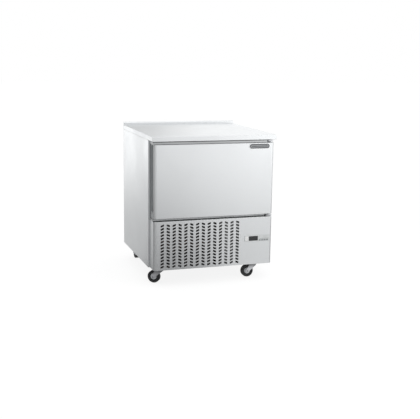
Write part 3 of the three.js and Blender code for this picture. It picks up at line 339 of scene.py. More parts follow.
# The same path moved in by an inset to the left of its heading, its arcs made smaller to match.
def outlineAt(corners, radius=0.0, steps=6, closed=True, least=0.0):
    corners = np.asarray(corners, float)
    came, goes = headings(corners, closed)
    sideA = np.stack([-came[:, 1], came[:, 0]], 1)
    sideB = np.stack([-goes[:, 1], goes[:, 0]], 1)
    step = (sideA + sideB) / (1 + (sideA * sideB).sum(1, keepdims=True))
    bend = np.sign((sideA * goes).sum(1))
    radius = np.broadcast_to(np.asarray(radius, float), len(corners))
    return lambda inset: rounded(corners + step * inset,
                                 np.maximum(radius - inset * bend, least * (radius > 0)),
                                 steps, closed)


# Four corners, anticlockwise.
def rectangle(x0, x1, y0, y1):
    return [(x0, y0), (x1, y0), (x1, y1), (x0, y1)]


# Four corners about a middle.
def rectangleAt(u, v, wide, tall):
    return rectangle(u - wide / 2, u + wide / 2, v - tall / 2, v + tall / 2)


# A slot with round ends, about a middle.
def stadium(u, v, wide, tall, steps):
    return cutOut(rectangleAt(u, v, wide, tall), tall / 2 - 0.01, steps)


# The face of a box that is seen along an axis.
def boxFace(low, high, axis="y", grow=0):
    u, v = {"x": (1, 2), "y": (0, 2), "z": (0, 1)}[axis]
    return rectangle(low[u] - grow, high[u] + grow, low[v] - grow, high[v] + grow)


# Points on a circle: middle + radius * (cos, sin).
def circleOf(u, v, radius, sides):
    angle = np.linspace(0, 2 * np.pi, sides, endpoint=False)
    return np.column_stack([u + radius * np.cos(angle), v + radius * np.sin(angle)])


# Points of (u, v, level) put in place for a level along an axis.
def onAxis(points, axis):
    order = {"z": [0, 1, 2], "y": [0, 2, 1], "x": [2, 0, 1]}[axis]
    return points[..., order]


# Rings of one outline, moved in and along the axis as the profile of (inset, level) says.
def stack(outline, profile, axis="z"):
    rings = [np.column_stack([ring, np.full(len(ring), level)])
             for ring, level in ((outline(inset), level) for inset, level in profile)]
    return onAxis(np.array(rings), axis)


# Levels from low to high with both edges rounded, ready for end faces.
def softEdges(low, high, edge, steps=3, flat=1.0):
    reach = edge + flat
    corners = [(reach, low), (0, low), (0, high), (reach, high)]
    return bent(corners, edge, steps, min(0.25, edge / 2))


# A quarter arc of an edge: from (edge, level) to (0, level + edge).
def quarterArc(edge, level, steps):
    turn = np.linspace(0, np.pi / 2, steps)
    return np.column_stack([edge * (1 - np.sin(turn)), level + edge * (1 - np.cos(turn))])


# A low dome: the height over its level falls to 0 as dome * (1 - sin) while the inset grows.
def domed(start, reach, level, dome, steps):
    share = np.linspace(0, 1, steps)
    return np.column_stack([start + share * reach, level + dome * (1 - np.sin(share * np.pi / 2))])


# Quads between the rows and columns of a grid of points; ends are closed with one face each.
def grid(points, wrapRows=False, wrapColumns=False, first=False, last=False, skip=None):
    rows, columns = points.shape[:2]
    index = np.arange(rows * columns).reshape(rows, columns)
    around = np.vstack([index, index[:1]]) if wrapRows else index
    around = np.hstack([around, around[:, :1]]) if wrapColumns else around
    quads = np.stack([around[:-1, :-1], around[:-1, 1:], around[1:, 1:], around[1:, :-1]], -1)
    if skip is not None:
        keep = np.ones(quads.shape[:2], bool)
        keep[skip] = False
        quads = quads[keep]
    faces = quads.reshape(-1, 4).tolist()
    if first:
        faces.append(index[0, ::-1].tolist())
    if last:
        faces.append(index[-1].tolist())
    return points.reshape(-1, 3), faces


# A flat sheet inside an outline, with holes, in the plane across the axis at a level.
def flatSheet(outline, holes, level, axis):
    rings = [np.asarray(outline, float), *[np.asarray(hole, float) for hole in holes]]
    points = np.concatenate(rings)
    triangles = tessellate_polygon([[Vector((u, v, 0)) for u, v in ring] for ring in rings])
    flat = np.column_stack([points, np.full(len(points), level)])
    return onAxis(flat, axis), [list(triangle) for triangle in triangles]


# Points that open shapes look away from.
ahead, behind, above, below = (0, -2000, 500), (0, 2000, 500), (0, 0, 2000), (0, 0, -1000)
inside, rightward = (0, 0, 500), (3000, 0, 500)


# Faces turned so that they look away from a point, or out of their own closed shape.
def facing(patch, point=None, inward=False):
    points, faces = patch
    centre = points.mean(0) if point is None else np.asarray(point, float)
    flow = 0.0
    for size in {len(face) for face in faces}:
        corner = points[np.array([face for face in faces if len(face) == size])] - centre
        area = np.cross(corner, np.roll(corner, -1, 1)).sum(1)
        flow += (corner.mean(1) * area).sum()
    if (flow > 0) != inward:
        return points, faces
    return points, [face[::-1] for face in faces]


# The skin through the rings of a stack, closed all round.
def skin(outline, profile, axis="z", point=None, inward=False, **ends):
    return facing(grid(stack(outline, profile, axis), wrapColumns=True, **ends), point, inward)


# A profile of (radius, level) turned about an axis; a closed profile makes a band.
def turned(profile, centre=(0, 0), axis="z", sides=32, closed=False):
    radius, level = np.asarray(profile, float).T[..., None]
    angle = np.linspace(0, 2 * np.pi, sides, endpoint=False)
    points = np.stack(np.broadcast_arrays(centre[0] + radius * np.cos(angle),
                                          centre[1] + radius * np.sin(angle), level), -1)
    return facing(grid(onAxis(points, axis), wrapRows=closed, wrapColumns=True))


# A solid of revolution with rounded edges: corners of (radius, level) from axis to axis.
def lathe(corners, bends, centre=(0, 0), axis="z", sides=32, steps=3):
    return turned(bent(corners, bends, steps, strip=0.1), centre, axis, sides)


# A round bar between two levels.
def rod(radius, low, high, edge, centre=(0, 0), axis="z", sides=32):
    return lathe([(0, low), (radius, low), (radius, high), (0, high)], edge, centre, axis, sides)


# A closed prism of an outline with soft edges.
def block(corners, radius, low, high, edge, axis="z", steps=6):
    return skin(outlineAt(corners, radius, steps), softEdges(low, high, edge), axis,
                first=True, last=True)


# A block from its entry in a dictionary: rectangle, corner, levels over a base, and edge.
def slab(entry, base=0, axis="z"):
    face, corner, levels, edge = entry
    return block(rectangle(*face), corner, *(base + np.array(levels)), edge, axis)


# A six-sided head or nut.
def hexHead(spot, radius, low, high, edge=0.6, axis="z", corner=0.5):
    return block(circleOf(*spot, radius, sides=6), corner, low, high, edge, axis, steps=2)


# A low domed screw head that stands on a face; rise is the way out of the face.
def screwHead(spot, level, rise, radius=4.2):
    shape = np.array([(0, 1), (0.35, 1), (0.8, 0.7), (1, 0.05), (1, -0.05), (0, -0.05)])
    return turned(shape * [radius, rise] + [0, level], spot, "y", sides=16)


# A round tube along a path: each ring lies across the path, turned on from the ring before.
def tube(path, radius, sides=16):
    path = np.asarray(path, float)
    keep = np.r_[True, np.linalg.norm(np.diff(path, axis=0), axis=1) > 1e-6]
    path = path[keep]
    heading = unit(np.gradient(path, axis=0))
    across = np.zeros_like(path)
    start = np.eye(3)[np.argmin(np.abs(heading[0]))]
    for i, forward in enumerate(heading):
        start = unit(start - forward * (start @ forward))
        across[i] = start
    other = np.cross(heading, across)
    angle = np.linspace(0, 2 * np.pi, sides, endpoint=False)[:, None]
    ring = across[:, None] * np.cos(angle) + other[:, None] * np.sin(angle)
    rings = path[:, None] + radius * ring
    return facing(grid(rings, wrapColumns=True, first=True, last=True))


# An open section carried straight along an axis.
def folded(section, low, high, axis):
    rings = [np.column_stack([section, np.full(len(section), level)]) for level in (low, high)]
    return grid(onAxis(np.array(rings), axis))


# A U-shaped plan of a front and two flanks, moved in along a folded profile.
def panRings(low, high, corner, profile, steps):
    plan = [(low[0], high[1]), (low[0], low[1]), (high[0], low[1]), (high[0], high[1])]
    return stack(outlineAt(plan, [0, corner, corner, 0], steps, closed=False), profile)


# A pan with one flat left out and put back as a sheet with holes.
def piercedPan(rings, row, column, holes, level, axis, point, **ends):
    one, other = rings[row, column], rings[row + 1, column + 1]
    flat = boxFace(np.minimum(one, other), np.maximum(one, other), axis)
    return [facing(grid(rings, skip=(row, column), **ends), behind),
            facing(flatSheet(flat, holes, level, axis), point)]


# A shallow pan with a round throat in its flat; the throat's points are (inward, along) its mouth.
def throatPan(box, centre, edge, level, size, point):
    outline = outlineAt(boxFace(*box), size["corner"], steps=4)
    rim = bent([(0, edge), (0, level), (size["flat"], level)], size["bend"], steps=4)
    hole, sides = size["hole"], size["sides"]
    throat = bent([(hole - inward, level + along) for inward, along in size["throat"]],
                  size["throatBend"], steps=4)
    face = flatSheet(outline(size["flat"]), [circleOf(*centre, hole, sides)], level, "y")
    return [skin(outline, rim, "y", point), facing(face, point),
            facing(turned(throat, centre, "y", sides), inward=True)]


# A patch turned about Z and moved.
def placed(patch, turn, shift):
    points, faces = patch
    cosine, sine = np.cos(turn), np.sin(turn)
    spin = np.array([[cosine, sine, 0], [-sine, cosine, 0], [0, 0, 1]])
    return points @ spin + np.asarray(shift, float), faces


# Every pair of one value from each list.
def pairs(first, second):
    return [(u, v) for u in first for v in second]


# The edges that are marked sharp.
def sharpEdges(mesh):
    marks = np.zeros(len(mesh.edges), bool)
    mesh.edges.foreach_get("use_edge_sharp", marks)
    return marks


# A finished piece: doubles merged, smooth with sharp edges by angle, wall and bevel as modifiers.
def makePiece(name, patches, slot, body="root", stands=None, wall=0.0, bevel=0.0, sharp=38.0,
              finish=None):
    points, faces, start = [], [], 0
    for patchPoints, patchFaces in patches:
        points.append(patchPoints)
        faces += [[i + start for i in face] for face in patchFaces]
        start += len(patchPoints)
    mesh = bpy.data.meshes.new(name)
    mesh.from_pydata((np.concatenate(points) * mm).tolist(), [], faces)
    work = bmesh.new()
    work.from_mesh(mesh)
    bmesh.ops.remove_doubles(work, verts=work.verts, dist=2e-6)
    for edge in work.edges:
        edge.smooth = not edge.is_boundary
    work.to_mesh(mesh)
    work.free()
    rims = sharpEdges(mesh)
    mesh.shade_smooth()
    mesh.set_sharp_from_angle(angle=np.radians(sharp))
    mesh.edges.foreach_set("use_edge_sharp", rims | sharpEdges(mesh))
    mesh.materials.append(finish or finishes[slot])
    made = bpy.data.objects.new(name, mesh)
    scene.collection.objects.link(made)
    if wall:
        folds = made.modifiers.new("wall", "SOLIDIFY")
        folds.thickness, folds.offset = wall * mm, -1
    if bevel:
        rim = made.modifiers.new("rim", "BEVEL")
        rim.width, rim.segments, rim.harden_normals = bevel * mm, 2, True
        rim.limit_method, rim.angle_limit = "ANGLE", np.radians(50)
    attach(made, body)
    if stands:
        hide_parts(stands)


# The box of a CAD node in millimetres.
def span(name):
    low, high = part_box(name)
    return np.array(low) / mm, np.array(high) / mm


sheet = 1.2  # sheet of the cabinet and the door

worktop = {"lip": 22, "frontLip": 107, "corner": 2.5, "bend": 2.6, "hem": 1.4, "flat": 8}


# The worktop is a rectangle moved in along a folded profile: lip, skirt, bend, top. Its first ring
# reaches further in at the front, where the soffit covers the door frame.
def makeWorktop(size):
    low, high = span("worktop")
    lip, bottom, top = size["lip"], low[2], high[2]
    profile = bent([(lip, bottom), (0, bottom), (0, top), (size["flat"], top)],
                   [size["hem"], size["bend"]], steps=5)
    rings = stack(outlineAt(boxFace(low, high, "z"), size["corner"], steps=4), profile)
    inner = rectangle(low[0] + lip, high[0] - lip, low[1] + size["frontLip"], high[1] - lip)
    rings[:len(rings) // 4, :, :2] = outlineAt(inner, 0, steps=4)(0)
    shell = facing(grid(rings, wrapColumns=True, last=True), below)
    makePiece("worktopSheet", [shell], "stainless_steel", stands="worktop", wall=sheet)


upstand = {"foot": 0.6, "bend": 2.6, "chamfer": 6, "endEdge": 0.8}


# The upstand's section is upright with a slanted top edge at the front.
def makeUpstand(size):
    low, high = span("rear_upstand")
    chamfer, foot, bend = size["chamfer"], size["foot"], size["bend"]
    corners = [(low[1], low[2]), (high[1], low[2]), (high[1], high[2]),
               (low[1] + chamfer, high[2]), (low[1], high[2] - chamfer)]
    strip = block(corners, [foot, foot, bend, bend, bend], low[0], high[0], size["endEdge"], "x")
    makePiece("upstandSheet", [strip], "stainless_steel", stands="rear_upstand")


sidePanel = {"flange": 22, "bend": 2.4, "rim": 0.25}


# Each side is one sheet bent round the front corner and carried straight up.
def makeSidePanel(size, name, side, stoodFor):
    low, high = span(stoodFor)
    outer = high[0] if side > 0 else low[0]
    path = [(outer - side * size["flange"], low[1]), (outer, low[1]), (outer, high[1])]
    shell = facing(folded(bent(path[::side], size["bend"], steps=6), low[2], high[2], "z"), inside)
    makePiece(name, [shell], "stainless_steel", stands=stoodFor, wall=sheet, bevel=size["rim"])


rearPanel = {"ventColumns": (-120, 120), "ventRows": 7, "ventMiddle": 169, "ventPitch": 24,
             "vent": (180, 8), "gland": (-310, 195), "glandHole": 10.3, "screwInset": 11,
             "screwProud": 2.0, "screwsAcross": 6, "screwsUp": 5}


# A flat sheet pierced by stadium vents; its screw heads are low domes.
def makeRearPanel(size):
    low, high = span("rear_panel")
    levels = size["ventMiddle"] + np.arange(size["ventRows"]) * size["ventPitch"]
    holes = [stadium(x, z, *size["vent"], steps=6) for x, z in pairs(size["ventColumns"], levels)]
    gland = circleOf(*size["gland"], size["glandHole"], sides=24)
    panel = facing(flatSheet(boxFace(low, high), [gland, *holes], high[1], "y"), inside)
    makePiece("rearSheet", [panel], "back_steel", stands="rear_panel", wall=sheet)
    inset = size["screwInset"]
    across = np.linspace(low[0] + inset, high[0] - inset, size["screwsAcross"])
    upward = np.linspace(low[2] + inset, high[2] - inset, size["screwsUp"])
    spots = pairs(across, upward[[0, -1]]) + pairs(across[[0, -1]], upward[1:-1])
    heads = [screwHead(spot, high[1], size["screwProud"]) for spot in spots]
    makePiece("rearScrews", heads, "zinc_steel")


makeWorktop(worktop)
makeUpstand(upstand)
print("worktop made")
makeSidePanel(sidePanel, "leftSide", -1, "left_side_panel")
makeSidePanel(sidePanel, "rightSide", 1, "right_side_panel")
makeRearPanel(rearPanel)
print("side and rear panels made")

lowerPanel = {"corner": 18, "topBend": 1.6, "hem": 1.2, "flange": 12, "steps": 8, "bendSteps": 3,
              "columns": 14, "rows": 14, "firstColumn": -336.1, "firstRow": 127,
              "columnPitch": 37.8, "rowPitch": 20, "slotWidth": 21, "slotHeight": 12.4,
              "slotRise": 4, "slotCorner": 2.2, "controllerHole": (207, 371, 256.5, 291.5),
              "rim": 0.2}


# The slots are slanted parallelograms that lean the other way in every second column.
def slotHoles(size):
    shape = np.array(rectangleAt(0, 0, size["slotWidth"], size["slotHeight"]))
    lean = np.array([(0, -1), (0, 1), (0, 1), (0, -1)]) * size["slotRise"]
    first = np.array([size["firstColumn"], size["firstRow"]])
    pitch = (size["columnPitch"], size["rowPitch"])
    return [cutOut(shape + lean * (-1) ** column + first + np.multiply(pitch, (column, row)),
                   size["slotCorner"], steps=3)
            for column, row in pairs(range(size["columns"]), range(size["rows"]))]


# The panel's front is a flat with slots and the controller's hole.
def makeLowerPanel(size):
    low, high = span("lower_front_panel")
    flange, steps = size["flange"], size["steps"]
    profile = bent([(flange, low[2]), (0, low[2]), (0, high[2]), (flange, high[2])],
                   [size["hem"], size["topBend"]], size["bendSteps"])
    rings = panRings(low, high, size["corner"], profile, steps)
    holes = [*slotHoles(size), rectangle(*size["controllerHole"])]
    pan = piercedPan(rings, lastOf(2, size["bendSteps"]), lastOf(2, steps), holes, low[1], "y",
                     behind, last=True)
    makePiece("slottedPanel", pan, "stainless_steel", stands="lower_front_panel", wall=sheet,
              bevel=size["rim"])


makeLowerPanel(lowerPanel)
print("slotted panel made")

doorSkin = {"corner": 18, "bend": 2.6, "flat": 4, "steps": 10, "bendSteps": 5,
            "grip": (-377.5, -339.5, 468, 881.0), "gripCorner": 5}


# The skin is a pan with soft edges; its left flank is a flat with the grip's opening.
def makeDoorSkin(size):
    low, high = span("door_outer_skin")
    profile = softEdges(low[2], high[2], size["bend"], size["bendSteps"], size["flat"])
    rings = panRings(low, high, size["corner"], profile, size["steps"])
    hole = cutOut(rectangle(*size["grip"]), size["gripCorner"], steps=5)
    pan = piercedPan(rings, lastOf(2, size["bendSteps"]), lastOf(1, size["steps"]), [hole], low[0],
                     "x", rightward, first=True, last=True)
    makePiece("doorSkin", pan, "stainless_steel", "door", "door_outer_skin", wall=sheet)


doorGrip = {"lip": 3, "lipGap": 0.05, "proud": 1.0, "wall": 1.8, "inset": 1.0, "lipBend": 0.7,
            "bedBend": 4, "bed": 12, "corner": 5, "leastCorner": 1.5, "foot": 434,
            "footGap": 0.6, "footInset": 1, "footEdge": 0.4}


# The grip is a channel behind a thin lip: its opening moved in and towards the door's middle.
def makeDoorGrip(size):
    low, high = span("door_grip_profile")
    y0, y1, z0, z1 = doorSkin["grip"]
    outer, bed, lip, inset = low[0], high[0] - size["wall"], size["lip"], size["inset"]
    front = outer - size["proud"]
    bends = [size["lipBend"], size["lipBend"], size["bedBend"]]
    profile = bent([(-lip, outer - size["lipGap"]), (-lip, front), (inset, front), (inset, bed),
                    (size["bed"], bed)], bends, steps=4)
    outline = outlineAt(rectangle(y0, y1, z0, z1), size["corner"], steps=5,
                        least=size["leastCorner"])
    shell = skin(outline, profile, "x", rightward, last=True)
    makePiece("doorGrip", [shell], "grey_plastic", "door", "door_grip_profile", wall=size["wall"])
    foot = rectangle(y0 + size["footInset"], y1 - size["footInset"], size["foot"],
                     z0 - lip - size["footGap"])
    cap = block(foot, size["corner"], front, outer + size["footEdge"], size["footEdge"], "x")
    makePiece("doorGripFoot", [cap], "grey_plastic", "door")


doorLiner = {"rim": 69.5, "slope": 7, "bend": 5, "corner": 14, "flat": 20}


# The liner is one pressed sheet: a flat rim and a raised middle with a sloping, rounded edge.
def makeDoorLiner(size):
    low, high = span("door_inner_liner")
    plate, plug, rim, top = low[1] + sheet, high[1], size["rim"], size["rim"] + size["slope"]
    outline = outlineAt(boxFace(low, high), size["corner"], steps=6, least=size["corner"])
    profile = bent([(0, plate), (rim, plate), (top, plug), (top + size["flat"], plug)],
                   size["bend"], steps=5)
    shell = skin(outline, profile, "y", ahead, last=True)
    makePiece("doorLinerSheet", [shell], "liner_steel", "door", "door_inner_liner", wall=sheet)


gasket = {"section": [(0, 0), (22, 0), (22, 2.2), (16.5, 3.8), (20.5, 5.6), (16.5, 7.2),
                      (19.5, 8.4), (18.5, 11.2), (3.5, 11.2), (2.5, 8.4), (5.5, 7.2),
                      (1.5, 5.6), (5.5, 3.8), (0, 2.2)],
          "rounding": [0.4, 0.4, 0.9, 0.7, 0.7, 0.6, 1.2, 1.6, 1.6, 1.2, 0.6, 0.7, 0.7, 0.9]}


# The gasket's section runs round the door: a foot, a bellows and a soft bulb that meets the frame.
def makeGasket(size):
    low, high = span("door_gasket")
    section = rounded(size["section"], size["rounding"], steps=3, strip=0.05) + [0, low[1]]
    ring = skin(outlineAt(boxFace(low, high), 0, steps=1), section, "y", wrapRows=True)
    makePiece("doorGasket", [ring], "seal_rubber", "door", "door_gasket", sharp=60)


badge = {"rim": 3.2, "rimEdge": 0.9, "backEdge": 0.1, "dome": 0.9, "domeStart": 2.8,
         "domeReach": 14, "domeSteps": 7, "inlay": 11.5, "inlayEdge": 0.25, "inlaySunk": 0.05,
         "inlayDeep": 0.65}


# The badge is a blank capsule: a bright rim round a low dark dome, and an inlay.
def makeBadge(size):
    low, high = span("badge_plate")
    outline = outlineAt(boxFace(low, high), (high[2] - low[2]) / 2 - 0.01, steps=14, least=0.5)
    front, back, rim = low[1], high[1], size["rim"]
    edges = np.array([size["backEdge"], size["rimEdge"]])[[0, 1, 1, 0]]
    section = rounded([(0, back), (0, front), (rim, front), (rim, back)], edges, steps=4,
                      strip=0.05)
    ring = skin(outline, section, "y", wrapRows=True)
    makePiece("badgeRim", [ring], "zinc_steel", "door", finish=brightRim)
    start = size["domeStart"]
    crown = domed(start, size["domeReach"], front, size["dome"], size["domeSteps"])
    face = skin(outline, [(start, back), *crown], "y", first=True, last=True)
    makePiece("badgeFace", [face], "badge_plastic", "door", "badge_plate")
    inlay, edge, level = size["inlay"], size["inlayEdge"], front + size["inlaySunk"]
    plate = skin(outline, [(inlay, front + size["inlayDeep"]), (inlay, level + edge),
                           (inlay + edge, level)], "y", first=True, last=True)
    makePiece("badgeInlay", [plate], "zinc_steel", "door", finish=gapShadeAndInlaySteel)


makeDoorSkin(doorSkin)
makeDoorGrip(doorGrip)
makeDoorLiner(doorLiner)
makeGasket(gasket)
makeBadge(badge)
print("door made")

doorFrame = {"outerCorner": 2, "mouthCorner": 20, "edge": 1.4, "rim": 4,
             "mouth": (-337, 337, 470, 845)}


# The frame is a closed ring: its outline outside and the cell's mouth inside, with round edges.
def makeDoorFrame(size):
    low, high = span("door_frame")
    outside = outlineAt(boxFace(low, high), size["outerCorner"], steps=8)
    mouth = outlineAt(rectangle(*size["mouth"]), size["mouthCorner"], steps=8)
    front, back, edge, rim = low[1], high[1], size["edge"], size["rim"]
    soft = quarterArc(edge, front, steps=4)
    rings = [stack(outside, [(0, back), *soft[::-1], (rim, front)], "y"),
             stack(mouth, [(-rim, front), *(soft * [-1, 1]), (0, back)], "y")]
    ring = facing(grid(np.concatenate(rings), wrapRows=True, wrapColumns=True))
    makePiece("doorFrame", [ring], "grey_plastic", stands="door_frame")


frameRails = {"over": (885.7, 900.5, -391), "under": (415, 427, -374), "ends": (-393, 344),
              "edge": 2, "endEdge": 0.6, "sunk": 0.5}


# Two steel rails on the frame narrow the gaps over and under the door; their dark steel is painted
# shade for those gaps.
def makeFrameRails(size):
    back = span("door_frame")[0][1] + size["sunk"]
    rails = [block(rectangle(front, back, bottom, top), size["edge"], *size["ends"],
                   size["endEdge"], "x") for bottom, top, front in (size["over"], size["under"])]
    makePiece("frameRails", rails, "stainless_steel", finish=gapShadeAndInlaySteel)


cellLiner = {"corner": 20, "backBend": 18, "backFlat": 5, "sunk": 1, "wall": 1.0}


# The cell is one deep skin from its mouth to a back with a wide bend.
def makeCellLiner(size):
    low, high = span("cell_liner")
    back, bend = high[1] - size["sunk"], size["backBend"]
    outline = outlineAt(rectangle(*doorFrame["mouth"]), size["corner"], steps=8, least=2)
    profile = bent([(0, low[1]), (0, back), (bend + size["backFlat"], back)], bend, steps=8)
    shell = skin(outline, profile, "y", inside, True, last=True)
    makePiece("cellLinerSheet", [shell], "liner_steel", stands="cell_liner", wall=size["wall"])


makeDoorFrame(doorFrame)
makeFrameRails(frameRails)
makeCellLiner(cellLiner)
print("frame and cell made")

rack = {"levels": 5, "pitch": 66, "reach": 18, "hook": 12, "lip": 3.5, "sheet": 1.5, "lap": 0.2,
        "bend": 2, "corner": 6, "slots": 5, "slot": (48, 12), "slotDrop": 33, "offWall": 30,
        "standoff": 16, "standoffCorner": 3, "standoffEdge": 0.6}


# A rack is a slotted upright sheet on four standoffs, with folded ledges for the trays.
def makeRack(size, name, side, stoodFor):
    low, high = span(stoodFor)
    wall = low[0] if side < 0 else high[0]
    upright = wall - side * size["offWall"]
    inner = upright - side * (size["sheet"] - size["lap"])
    tip = inner - side * size["reach"]
    ledges = high[2] - np.arange(size["levels"]) * size["pitch"]
    middles = np.linspace(low[1], high[1], 2 * size["slots"] + 1)[1::2]
    holes = [stadium(y, z, *size["slot"], steps=5)
             for y, z in pairs(middles, ledges[:-1] - size["slotDrop"])]
    plate = cutOut(boxFace(low, high, "x"), size["corner"], steps=4)
    patches = [facing(flatSheet(plate, holes, upright, "x"), inside)]
    for z in ledges:
        section = bent([(inner, z - size["hook"]), (inner, z), (tip, z), (tip, z - size["lip"])],
                       size["bend"], steps=4)
        patches.append(facing(folded(section, low[1], high[1], "y"), below))
    makePiece(name, patches, "liner_steel", stands=stoodFor, wall=size["sheet"])
    thick = size["standoff"]
    feet = [block(rectangle(y, y + thick, z, z + thick), size["standoffCorner"],
                  *sorted((upright, wall)), size["standoffEdge"], "x")
            for y, z in pairs((low[1], high[1] - thick), (low[2], high[2] - thick))]
    makePiece(name + "Standoffs", feet, "liner_steel")


makeRack(rack, "rackLeft", -1, "tray_rack_left")
makeRack(rack, "rackRight", 1, "tray_rack_right")
print("racks made")

fanPanel = {"corner": 4, "flange": 12, "bend": 3, "flat": 6, "hole": 106, "sides": 64,
            "throat": [(0, 0), (3, 1.5), (4, 9)], "throatBend": 4, "screwInset": 14,
            "screwProud": 1.8}
fanGuard = {"proud": 3.2, "rings": (20, 31, 42, 53, 64, 75, 86, 97, 108), "wire": 1.25,
            "spokes": 6, "spokeStart": 10, "spokeReach": 116, "spokeTurn": 0.3, "cap": 17,
            "capLevels": (-1.2, 1.6), "capEdge": 0.9, "foot": 5.5, "footLevels": (-1.6, -0.1)}


# The panel in front of the coil: folded edges and a round opening with a collar turned back.
def makeFanPanel(size):
    low, high = span("fan_panel")
    front, inset = low[1], size["screwInset"]
    centre = (0, (low[2] + high[2]) / 2)
    pan = throatPan((low, high), centre, front + size["flange"], front, size, behind)
    makePiece("fanPanelSheet", pan, "liner_steel", stands="fan_panel", wall=sheet)
    spots = pairs(np.linspace(low[0] + inset, high[0] - inset, 4),
                  (low[2] + inset, high[2] - inset))
    heads = [screwHead(spot, front, -size["screwProud"]) for spot in spots]
    makePiece("fanPanelScrews", heads, "zinc_steel")
    return front, centre


# The guard is rings of wire on spokes with feet, and a cap over its middle.
def makeFanGuard(size, front, centre):
    wire, level = size["wire"], front - size["proud"]
    loop = circleOf(0, level, wire, sides=8)
    guard = [turned(loop + [radius, 0], centre, "y", sides=56, closed=True)
             for radius in size["rings"]]
    for angle in np.arange(size["spokes"]) * 2 * np.pi / size["spokes"] + size["spokeTurn"]:
        way = np.array([np.cos(angle), 0, np.sin(angle)])
        start = np.array([0, level + 2 * wire, centre[1]])
        foot = start + way * size["spokeReach"]
        guard.append(tube([start + way * size["spokeStart"], foot], wire, sides=8))
        guard.append(rod(size["foot"], *(front + np.array(size["footLevels"])), edge=0.4,
                         centre=foot[::2], axis="y", sides=16))
    guard.append(rod(size["cap"], *(level + np.array(size["capLevels"])), size["capEdge"],
                     centre, "y"))
    makePiece("fanGuard", guard, "zinc_steel", finish=brightRim)


coils = {
    "evaporator": {"node": "evaporator_coil", "pitch": 5.6, "fin": 0.4, "rows": 3, "tubes": 15,
                   "margin": 15, "tube": 4.2, "plate": 1.4, "overhang": 3,
                   "finish": finishes["aluminium"]},
    "condenser": {"node": "condenser_coil", "pitch": 3.6, "fin": 0.4, "rows": 2, "tubes": 12,
                  "margin": 16, "tube": 4.2, "plate": 1.4, "overhang": 2, "finish": finsWithPaintedShade},
}
coilEnds = {"plateCorner": 1.5, "plateEdge": 0.3, "tubeProud": 1, "bendReach": 0.72,
            "bendThin": 0.3, "bendSteps": 9, "sides": 10}


# Fins are thin boxes at one pitch.
def finRow(low, high, pitch, thick):
    starts = np.arange(low[0], high[0] - thick, pitch)[:, None, None]
    unitBox = np.array([(x, y, z) for x in (0, 1) for y in (0, 1) for z in (0, 1)], float)
    box = unitBox * [thick, high[1] - low[1], high[2] - low[2]] + [0, low[1], low[2]]
    sides = np.array([(0, 1, 3, 2), (4, 6, 7, 5), (0, 4, 5, 1), (2, 3, 7, 6), (0, 2, 6, 4),
                      (1, 5, 7, 3)])
    faces = sides + np.arange(len(starts))[:, None, None] * len(box)
    return (box + starts * [1, 0, 0]).reshape(-1, 3), faces.reshape(-1, 4).tolist()


# The tubes pass through the fins in rows; a U bend at each end joins every second pair of levels.
def makeCoil(name, size):
    low, high = span(size["node"])
    margin, plate, radius = size["margin"], size["plate"], size["tube"]
    inner = np.array([margin, size["overhang"], size["overhang"]])
    fins = finRow(low + inner, high - inner, size["pitch"], size["fin"])
    makePiece(name + "Fins", [fins], "aluminium", stands=size["node"], finish=size["finish"])
    ends = [block(boxFace(low, high, "x"), coilEnds["plateCorner"], x, x + plate,
                  coilEnds["plateEdge"], "x") for x in (low[0] + margin - plate, high[0] - margin)]
    makePiece(name + "Plates", ends, "back_steel")
    depths = np.linspace(low[1], high[1], 2 * size["rows"] + 1)[1::2]
    levels = np.linspace(low[2], high[2], 2 * size["tubes"] + 1)[1::2]
    step, sides = levels[1] - levels[0], coilEnds["sides"]
    start = margin - plate - coilEnds["tubeProud"]
    first, last = low[0] + start, high[0] - start
    swing = np.linspace(-np.pi / 2, np.pi / 2, coilEnds["bendSteps"])
    runs = [tube([(first, y, z), (last, y, z)], radius, sides) for y, z in pairs(depths, levels)]
    for end, way, offset in ((first, -1, 0), (last, 1, 1)):
        for y, z in pairs(depths, levels[offset:-1:2] + step / 2):
            out = way * np.cos(swing) * step / 2 * coilEnds["bendReach"]
            bend = np.column_stack([end + out, np.full(len(swing), y),
                                    z + np.sin(swing) * step / 2])
            runs.append(tube(bend, radius - coilEnds["bendThin"], sides))
    makePiece(name + "Tubes", runs, "copper")


fan = {"blades": 5, "root": 17, "rootChord": 22, "tipChord": 38, "rootPitch": 36, "tipPitch": 19,
       "camber": 3, "blade": 1.4, "sweep": 0.3, "tipGap": 0.8, "tipRound": 0.25,
       "roundFrom": 0.75, "leastRadius": 30, "hub": 20, "hubRise": 7, "hubLength": 24,
       "bore": 4.7, "boreFloor": 4, "hubBends": [4, 1, 0.3, 0.3], "grid": (14, 13)}


# A blade runs from hub (u = 0) to tip (u = 1) and across its chord (v = -1 to 1). A point is turned
# about the shaft by chord * cos(pitch) / radius and lifted by chord * sin(pitch) + camber.
def fanBlade(radius, centre, middle, size, turn):
    u = np.linspace(0, 1, size["grid"][0])[:, None]
    v = np.linspace(-1, 1, size["grid"][1])
    out = size["root"] + (radius - size["tipGap"] - size["root"]) * u
    chord = size["rootChord"] + (size["tipChord"] - size["rootChord"]) * u
    nearTip = np.clip((u - size["roundFrom"]) / (1 - size["roundFrom"]), 0, 1)
    chord = chord * (1 - size["tipRound"] * nearTip ** 2)
    pitch = np.radians(size["rootPitch"] + (size["tipPitch"] - size["rootPitch"]) * u)
    reach = np.maximum(out, size["leastRadius"])
    around = turn + size["sweep"] * u ** 2 + chord * v * np.cos(pitch) / reach
    lift = chord * v * np.sin(pitch) + size["camber"] * (1 - v ** 2)
    points = np.stack([out * np.cos(around), middle + lift, out * np.sin(around)], -1)
    return grid(points + [centre[0], 0, centre[1]])


